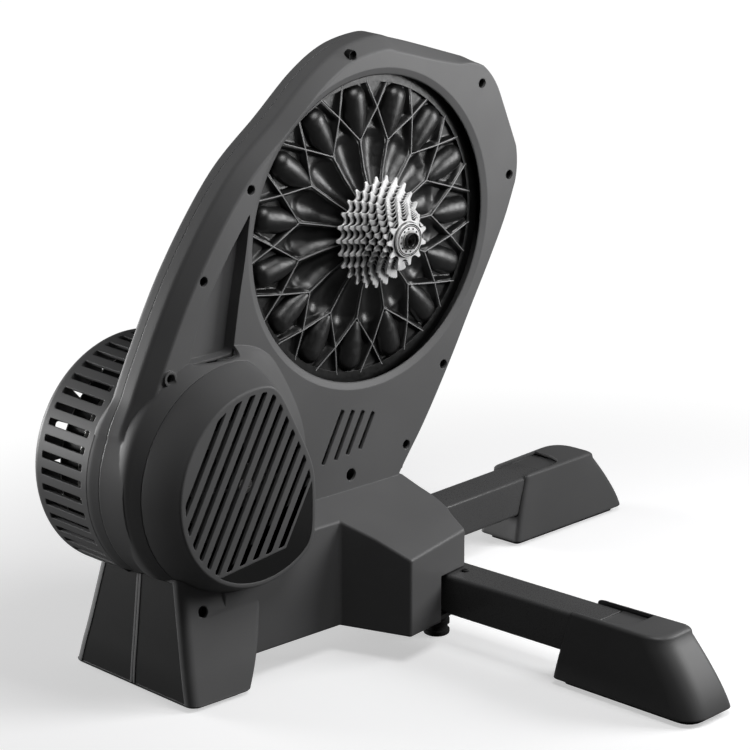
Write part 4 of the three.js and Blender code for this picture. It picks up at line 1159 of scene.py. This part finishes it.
def rosette():
    half = 180 / pulley["petals"]
    turns = [turn * 2 * half for turn in range(pulley["petals"])]
    fork, crossing = polar(pulley["fork"], 0), polar(pulley["crossing"], half)
    rimNear = polar(pulley["rim"], 2 * half - pulley["rimTurn"])
    start, startMid = polar(pulley["inner"], 0), polar(pulley["inner"], half)
    lines = [(np.zeros(2), fork), (fork, crossing), (crossing, rimNear)]
    patches = [
        ("kite", (start, startMid, crossing, fork), 34, 56),
        ("outside", (fork, crossing, rimNear, polar(pulley["rim"], 0)), 22, 22),
        ("corner", (crossing, crossing, polar(pulley["rim"], half), rimNear), 10, 12),
    ]
    points, faces = [], []
    for region, (a, b, c, d), across, up in patches:
        s, t = np.linspace(0, 1, across + 1), np.linspace(0, 1, up + 1)
        if region == "kite":
            s = s**1.4
        s, t = (v.ravel()[:, None] for v in np.meshgrid(s, t))
        flatPoints = (1 - s) * (1 - t) * a + s * (1 - t) * b + s * t * c + (1 - s) * t * d
        height = reliefHeight(flatPoints, region, lines)
        for turn in turns:
            for mirror in (1, -1):
                first = sum(len(p) for p in points)
                row = np.stack([flatPoints[:, 0], height, flatPoints[:, 1] * mirror], 1)
                points.append(turnedAbout(row, turn))
                for j in range(up):
                    for i in range(across):
                        k = first + j * (across + 1) + i
                        quad = (k, k + 1, k + across + 2, k + across + 1)
                        faces.append(quad if mirror > 0 else quad[::-1])
    relief = makeMesh("pulley_relief", np.concatenate(points), faces)
    rings = petalBody()
    petals = [loft("petal", [turnedAbout(ring, turn) for ring in rings]) for turn in turns]
    rim, belt, band, hub, bore = map(pulley.get, ("rim", "belt", "band", "inner", "bore"))
    face, end, web, floor = map(pulley.get, ("face", "back", "web", "floorBack"))
    profile = [(rim, face), (belt, face), (belt, end), (band, end), (band, web), (hub, web), (hub, end)]
    profile += [(bore, end), (bore, -web), (hub, -web), (hub, floor), (rim, floor)]
    back = turned("pulley_back", profile, (0, hubZ), 180)
    made = together("drive_pulley_rosette", relief, back, *petals)
    dress(made, "rosette", "pulley_rotor", "gloss_plastic", "drive_pulley", angle=42)

    # Wires along the spokes and branches; their pale tone is a painted highlight on the ridge lines.
    wires = []
    tips = [polar(pulley["rim"] + 3, sign * pulley["rimTurn"]) for sign in (1, -1)]
    around = [compass(math.radians(60 * k))[0] for k in range(6)]
    for turn in turns:
        for a, b in [(start, fork), *((fork, tip) for tip in tips)]:
            line = a + (b - a) * np.linspace(0, 1, 22)[:, None]
            height = ridgeHeight(np.linalg.norm(line, axis=1)) - 0.1
            middle = turnedAbout(np.stack([line[:, 0], height, line[:, 1]], 1), turn)
            ahead = (middle[-1] - middle[0]) / np.linalg.norm(middle[-1] - middle[0])
            beside = np.cross(ahead, (0, 1, 0))
            beside /= np.linalg.norm(beside)
            ring = [pulley["wire"] * (c * beside + s * np.array([0, 1, 0])) for c, s in around]
            wires.append(loft("wire", [[m + q for q in ring] for m in middle]))
    made = together("drive_pulley_ridges", *wires)
    dress(made, "ridge", "pulley_rotor", "gloss_plastic", angle=80)


rosette()
print("rosette done")

# Cassette: one outline for each tooth count, with worn edges and a few shortened shift teeth.
cassette = {
    "teeth": [25, 23, 21, 19, 17, 16, 15, 14, 13, 12, 11],
    "first": -19,
    "pitch": 3.74,
    "thickness": 1.7,
    "bore": 17.0,
    "chamfer": 0.4,
    "seat": 3.97,
    "halfLink": 6.35,
    "tip": 2.5,
    "tipShape": [(-1.75, 1.3), (-1.35, 0.35), (-0.8, 0), (0.8, 0), (1.35, 0.35), (1.75, 1.3)],
    "shortened": 1.0,
    "collar": 3,
    "gap": 0.3,
    "wear": 40,
}


def toothOutline(teeth, index):
    pitchRadius = cassette["halfLink"] / math.sin(math.pi / teeth)
    tip, seat = pitchRadius + cassette["tip"], cassette["seat"]
    points = []
    for k in range(teeth):
        middle = 2 * math.pi * k / teeth
        out, tangent = compass(middle)
        for a in np.radians(np.linspace(-58, 58, 8)):
            points.append(out * (pitchRadius - seat * math.cos(a)) + tangent * seat * math.sin(a))
        height = tip - (cassette["shortened"] if (k * 7 + index * 4) % 11 == 3 else 0)
        for shift, drop in cassette["tipShape"]:
            points.append((height - drop) * compass(middle + math.pi / teeth + shift / tip)[0])
    return np.array(points)


def sprocketPiece(teeth, index):
    shape = toothOutline(teeth, index)
    back = cassette["first"] - index * cassette["pitch"]
    front = back - cassette["thickness"]
    angle = np.arctan2(shape[:, 1], shape[:, 0])
    unit = np.stack([np.cos(angle), np.sin(angle)], 1)
    bore, edge = cassette["bore"], cassette["chamfer"]
    wearAndSheen = shape * (1 - edge / cassette["wear"])
    rows = [(wearAndSheen, front), (shape, front + edge), (shape, back - edge), (wearAndSheen, back)]
    rings = [lifted(points + (0, hubZ), "y", y) for points, y in rows]
    last = index == len(cassette["teeth"]) - 1
    nose = front - (0 if last else cassette["pitch"] - cassette["thickness"] - cassette["gap"])
    collar = bore + cassette["collar"]
    for r, y in ((bore, back), (bore, nose), (collar, nose), (collar, front)):
        rings.append(lifted(unit * r + (0, hubZ), "y", y))
    return loft(f"cassette_{teeth}", [*rings, rings[0]], capped=False)


for index, teeth in enumerate(cassette["teeth"]):
    made = sprocketPiece(teeth, index)
    dress(made, "nickel", "cassette", "steel", f"sprocket_{teeth}", angle=28)

# Lockring and end caps of the axle: profiles of (radius, y), the lockring's y from its face.
axleEnds = {
    "face": 3.2,
    "seat": 0.4,
    "rim": [(16.2, 0.4), (15.9, 0), (15.3, 0), (15.3, 1.5), (14.3, 1.5), (14.3, 0.2), (13.9, 0.2)],
    "ring": [(13.9, 1.5), (12.9, 1.5), (12.9, 0), (8.6, 0), (8.2, 0.4)],
    "notches": 12,
    "notchRadius": 10.8,
    "notch": (-0.85, 0.85, -1.1, 1.1, 0.6),
    "notchTurn": 0.1,
    "notchDepth": 1.6,
    "right": [(6.2, -62.9), (7.9, -62.9), (7.9, -65.4), (7.5, -66), (7.0, -66), (6.4, -65.4), (6.2, -64.8)],
    "left": [(6.2, 61.4), (12.5, 61.4), (12.5, 63.2), (11.7, 64), (7.2, 64), (6.4, 63.4), (6.2, 62.8)],
}


def axleEnd():
    hub = (0, hubZ)
    behind = (len(cassette["teeth"]) - 1) * cassette["pitch"]
    last = cassette["first"] - behind - cassette["thickness"]
    face, seat = last - axleEnds["face"], last - axleEnds["seat"]
    shape = [(r, face + y) for r, y in axleEnds["rim"] + axleEnds["ring"]]
    lockring = turned("cassette_lockring", [(shape[0][0], seat), *shape, (shape[-1][0], seat)], hub, 96)
    holes = []
    notch = oblong(*axleEnds["notch"], 4)
    for k in range(axleEnds["notches"]):
        out, tangent = compass(k * math.pi / (axleEnds["notches"] / 2) + axleEnds["notchTurn"])
        points = (axleEnds["notchRadius"] + notch[:, :1]) * out + notch[:, 1:] * tangent + hub
        holes.append(slab("notch", points, "y", face - 1, face + axleEnds["notchDepth"]))
    cut(lockring, together("notches", *holes))
    dress(lockring, "nickel", "cassette", "steel", "lockring")
    for side, finish in (("right", "oxide"), ("left", "steel")):
        cap = turned(side + "_axle_cap", axleEnds[side], hub, 64)
        dress(cap, finish, "housing", "steel", side + "_end_cap")


axleEnd()
print("cassette done")

# Feet of the two legs, along the leg from its pivot; rows run from the sole to the top.
foot = {
    "start": 226,
    "length": 165.4,
    "bottom": 5,
    "top": 73.9,
    "leanStart": 16.8,
    "leanEnd": 44.2,
    "leanCurves": (1.15, 1.3),
    "wallShares": (0.06, 0.94),
    "roundShare": 0.96,
    "roomFrom": 200,
    "innerHalf": (26, 23.5),
    "outerHalf": (31, 25.5),
    "corners": (6, 25, 9, 6),
    "soleEdge": [(0, 0, 1.2), (0.01, 0.5, 0.4), (0.02, 1.3, 0)],
    "round": 3.2,
    "dishEnd": 307,
    "dishDepth": 4.6,
    "dishCorners": (24, 2),
    "ledge": 22,
    "slack": 0.4,
}


def legPoint(side, points):
    angle = math.radians(legs["angle"][side])
    x, y, z = np.asarray(points, float).T
    y = -signs[side] * y
    along = legs["pivotX"] + x * math.cos(angle) - y * math.sin(angle)
    across = seamY + signs[side] * legs["pivotOut"] + x * math.sin(angle) + y * math.cos(angle)
    return np.stack([along, across, z], 1)


def legLoft(side, name, rings):
    return loft(name, [legPoint(side, ring) for ring in rings])


def legSlab(side, name, shape, low, high):
    return legLoft(side, name, [lifted(shape, "z", z) for z in (low, high)])


def footRing(share, z, margin=0.0):
    startCurve, endCurve = foot["leanCurves"]
    start = foot["start"] + foot["leanStart"] * share**startCurve + margin
    end = foot["start"] + foot["length"] - foot["leanEnd"] * share**endCurve - margin
    inner = foot["innerHalf"][0] + (foot["innerHalf"][1] - foot["innerHalf"][0]) * share - margin
    outer = foot["outerHalf"][0] + (foot["outerHalf"][1] - foot["outerHalf"][0]) * share - margin
    c = foot["corners"]
    corners = [(start, -inner, c[0]), (end, -outer, c[1]), (end, outer, c[2]), (start, inner, c[3])]
    return lifted(rounded(corners, 9), "z", z)


def footPiece(side):
    bottom, top, radius = foot["bottom"], foot["top"], foot["round"]
    rings = [footRing(share, bottom + up, back) for share, up, back in foot["soleEdge"]]
    for share in np.linspace(*foot["wallShares"], 12):
        rings.append(footRing(share, bottom + (top - radius - bottom) * share))
    for rise, fall in quarter(6):
        share = foot["roundShare"] + (1 - foot["roundShare"]) * rise
        rings.append(footRing(share, top - radius * (1 - rise), radius * (1 - fall)))
    shell = legLoft(side, side + "_foot_shell", rings)
    height = top - bottom + 1
    inner = [footRing(share, bottom - 4 + height * share, wall) for share in (0, 0.5, 1)]
    cut(shell, legLoft(side, "inner", inner))
    barEnd, half = legs["length"] + foot["slack"], legs["half"] + foot["slack"]
    room = oblong(foot["roomFrom"], barEnd, -half, half, 0)
    cut(shell, legSlab(side, "room", room, legs["bottom"] - foot["slack"], top + 5))
    low, end, ledge = top - foot["dishDepth"], foot["dishEnd"], foot["ledge"]
    unite(shell, legSlab(side, "ledge", oblong(barEnd - 0.8, end + 8, -ledge, ledge, 0), low - 6, low))
    near, far = foot["dishCorners"] if side == "right" else reversed(foot["dishCorners"])
    corners = [(barEnd - 20, -half, 0), (end, -half, near), (end, half, far), (barEnd - 20, half, 0)]
    cut(shell, legSlab(side, "dish", rounded(corners, 10), low, top + 5))
    return dress(shell, "foot", side + "_leg", "black_plastic", side + "_foot")


def barPiece(side):
    half, low, high, length = legs["half"], legs["bottom"], legs["top"], legs["length"]
    gauge, turn = legs["thickness"], legs["endRound"]

    def section(x, margin, corner):
        y = half - margin
        return lifted(oblong(-y, y, low + margin, high - margin, corner, 6), "x", x)

    ends = [section(-half, 0, legs["corner"]), section(length, 0, legs["corner"])]
    bar = legLoft(side, side + "_bar_tube", ends)
    back, front, out = -half - 1, length + 1, half + 1
    plan = rounded([(back, -out, turn), (front, -out, 0), (front, out, 0), (back, out, turn)], 8)
    boolean(bar, "INTERSECT", legSlab(side, "plan", plan, 0, 100))
    cut(bar, legLoft(side, "hollow", [section(-half - 4, gauge, 2), section(length + 4, gauge, 2)]))
    cut(bar, legSlab(side, "bolt", circle(legs["bolt"], (0, 0), 32), 0, 100))
    cut(bar, legSlab(side, "pin", circle(legs["pin"], (legs["detent"], 0), 24), 60, 100))
    return dress(bar, "bar", side + "_leg", "coated_steel", side + "_leg_bar")


def detentPiece(side):
    centre = legPoint(side, [(legs["detent"], 0, 0)])[0][:2]
    profile = [(r, legs["top"] + z) for r, z in legs["nub"]]
    made = turned(side + "_detent_nub", profile, centre, 32, "z")
    return dress(made, "inner", side + "_pin", "steel", side + "_detent")


# The ribbed foot under the beam: profile of (radius, z).
levelling = {
    "x": 27,
    "out": 92,
    "sole": [(0, 0), (11, 0), (12.2, 0.8), (12.5, 2), (12.5, 4.6), (11.9, 5.3), (10.6, 5.6), (10.6, 10)],
    "ribs": [(11.9, 10.4), (12.5, 11), (12.5, 15.2), (11.9, 15.8), (10.6, 16.2), (10.6, 20.8), (11.9, 21.2)],
    "top": [(12.5, 22), (12.5, 26.5), (0, 26.5)],
}


def supportFoot(side):
    centre = (levelling["x"], seamY + signs[side] * levelling["out"])
    profile = levelling["sole"] + levelling["ribs"] + levelling["top"]
    made = turned(side + "_levelling_foot", profile, centre, 64, "z")
    return dress(made, "rubber", "housing", "rubber", side + "_support_foot", angle=40)


for side in signs:
    barPiece(side)
    footPiece(side)
    detentPiece(side)
    supportFoot(side)
print("legs done")


# Screws in their recesses, each in a black sleeve on the hole's wall; the sleeve and the black head are
# painted shade for the deep hole. Rows give y of the head and of the sleeve's mouth.
sunk = {
    "rail": (body["rightFace"] + 6.6, body["rightFace"] + 2.6),
    "plinth": (-37.6, -42.6),
    "fit": 0.03,
    "shadeSleeve": 0.5,
    "socket": 1.3,
    "head": 3.3,
    "socketDepth": 1.6,
    "slope": 0.2,
    "shadeSleeveFoot": 0.9,
    "back": 3,
}


def sunkScrew(name, x, z, y, mouth, radius):
    outer, inner, socket = radius - sunk["fit"], radius - sunk["shadeSleeve"], sunk["socket"]
    deep, back = y + sunk["socketDepth"], y + sunk["back"]
    profile = [(0, deep), (socket, deep), (socket, y + sunk["slope"]), (sunk["head"], y)]
    # The sleeve lines the hole's wall in black: painted shade.
    profile += [(inner, y + sunk["shadeSleeveFoot"]), (inner, mouth), (outer, mouth), (outer, back), (0, back)]
    return dress(turned(name, profile, (x, z), 24), "inner", "housing", "black_steel")


for k, (x, z) in enumerate(marks["screws"]):
    sunkScrew(f"rail_screw_{k + 1}", x, z + hubZ, *sunk["rail"], marks["screwRadius"])
sunkScrew("plinth_screw", *plinth["hole"], *sunk["plinth"], plinth["holeRadius"])


def hoodScrews():
    x, head, slot = hoodScrew["x"], hoodScrew["head"], hoodScrew["slot"]
    rows = [(0.01, x), *((head * part, x - down) for part, down in hoodScrew["rounding"])]
    deep = x - hoodScrew["slotDepth"]
    for side, sign in signs.items():
        y, z = middle = (seamY + sign * hoodScrew["out"], hoodScrew["z"])
        rings = [lifted(circle(r, middle, 40), "x", at) for r, at in [*rows, (0.01, rows[-1][1])]]
        screw = loft(side + "_hood_screw", rings)
        a, b = head * hoodScrew["slotLength"], slot
        level = block("slot", deep, x + 1, y - a, y + a, z - b, z + b)
        cut(screw, unite(level, block("slot", deep, x + 1, y - b, y + b, z - a, z + a)))
        dress(screw, "nickel", "housing", "steel")


hoodScrews()

# The power socket: profile of (radius, x), round a line along X.
socket = [(2.7, 33), (2.7, 43.4), (3.1, 44), (3.8, 44), (4.2, 43.5), (4.2, 24), (0, 24), (0, 33)]


def powerInlet():
    middle = (marks["inlet"][0], hubZ + marks["inlet"][1])
    made = turned("inlet_socket", socket, middle, 32, "x")
    return dress(made, "inner", "housing", "black_plastic", "power_inlet")


powerInlet()

# Finishes of the nodes that are carried as they are; the pads are rubber and all the others turned steel.
nodeFinishes = {
    "frame_plate": "alloy",
    "lower_plate": "oxide",
    "upper_plate": "oxide",
    "belt": "rubber",
    "control_board": "board",
    # The brake coils and disc take black finishes as painted shade for the dark inside of the vent cap.
    "brake_coils": "inner",
    "small_pulley": "alloy",
    "brake_disc": "oxide",
    "freehub_body": "alloy",
}
for name, item in frame["nodes"].items():
    if item.hide_render:
        continue
    key = nodeFinishes.get(name, "rubber" if name.endswith("_pad") else "steel")
    for k in range(len(item.material_slots)):
        item.material_slots[k].material = finishes[key]
    if not item.material_slots:
        item.data.materials.append(finishes[key])
print("carried nodes finished")

# Camera, floor and light.
stageSet = {
    "camera": (-2061.76, -2202.72, 1179.82),
    "tilt": math.pi / 2 - 0.300,
    "turn": -0.7558,
    "lens": 160.96,
    "sensor": 36,
    "clip": 60,
    "bounce": 0.1,
    "paper": 0.72,
    "glow": 0.48,
    "shine": 0.1,
    "ambient": 0.05,
    "sky": 0.02,
    "fade": (0.45, 0.9),
    "floorReach": 14,
    "floorZ": -0.0004,
}
# Each soft box: place and aim in metres, width, height and power in watts.
lamps = {
    "top_box": ((-0.03, -0.32, 1.02), (-0.05, 0.05, 0.45), 0.4, 0.4, 3.7),
    "key_box": ((0.66, -0.54, 0.55), (-0.05, 0.1, 0.34), 0.5, 0.5, 7.4),
    "rear_box": ((-1.1, 2.4, 0.34), (-0.15, 0, 0.3), 1.2, 0.6, 60),
}
camera = placed("camera", bpy.data.cameras.new("camera"))
camera.location = toFrame(stageSet["camera"]).tolist()
camera.rotation_euler = (stageSet["tilt"], 0, stageSet["turn"])
camera.data.lens = stageSet["lens"]
camera.data.sensor_width = stageSet["sensor"]
camera.data.clip_end = stageSet["clip"]
bpy.context.scene.camera = camera


# Which rays see the pale stage: the camera's, and those that pass through; glossy ones are given apart.
def seeing(tree):
    path = node(tree, "LightPath")
    outputs = path.socket.node.outputs
    passing = Signal(tree, outputs["Is Transmission Ray"])
    return path.maths("MAXIMUM", path, passing), Signal(tree, outputs["Is Glossy Ray"])


# A floor that is white where it is seen, and grey where it only bounces light onto the object.
def paleFloor():
    data = bpy.data.meshes.new("floor")
    reach, z = stageSet["floorReach"], stageSet["floorZ"]
    corners = [(*corner, z) for corner in oblong(-reach, reach, -reach, reach, 0)]
    data.from_pydata(corners, [], [(0, 1, 2, 3)])
    floor = placed("floor", data)
    material, tree, shader = newFinish("floor_paper", 0.9, specular=0.0)
    direct, glossy = seeing(tree)
    seen = direct.maths("MAXIMUM", direct, glossy * stageSet["shine"])
    feed(tree, shader, Base_Color=mixed(tree, seen, grey(stageSet["bounce"]), grey(stageSet["paper"])))
    glow = node(tree, "Emission", None, {"Color": (1, 1, 1, 1), "Strength": seen * stageSet["glow"]})
    both = node(tree, "AddShader", None, {0: Signal(tree, shader.outputs[0]), 1: glow})
    level = seen + stageSet["bounce"] * 0.3
    plain = node(tree, "Emission", None, {"Color": (1, 1, 1, 1), "Strength": level})
    away = node(tree, "VectorMath", {"operation": "LENGTH"}, {0: surface(tree)}, 1)
    faded = node(tree, "MixShader", None, {0: away.between(*stageSet["fade"]), 1: both, 2: plain})
    tree.links.new(faded.socket, tree.nodes["Material Output"].inputs["Surface"])
    data.materials.append(material)


def world():
    made = bpy.data.worlds.new("studio")
    made.use_nodes = True
    tree = made.node_tree
    background = tree.nodes["Background"]
    seen, glossy = seeing(tree)
    strength = seen * (1 - stageSet["ambient"]) + stageSet["ambient"] + glossy * stageSet["sky"]
    tree.links.new(strength.socket, background.inputs["Strength"])
    background.inputs["Color"].default_value = (1, 1, 1, 1)
    bpy.context.scene.world = made


def softBox(name, at, aim, width, height, power):
    lamp = bpy.data.lights.new(name, "AREA")
    lamp.shape = "RECTANGLE"
    lamp.size, lamp.size_y = width, height
    lamp.energy = power
    item = placed(name, lamp)
    item.location = at
    item.visible_camera = False
    item.rotation_euler = (Vector(aim) - Vector(at)).to_track_quat("-Z", "Y").to_euler()


paleFloor()
world()
for name, row in lamps.items():
    softBox(name, *row)

scene = bpy.context.scene
scene.view_settings.view_transform = "Standard"
print("stage set")
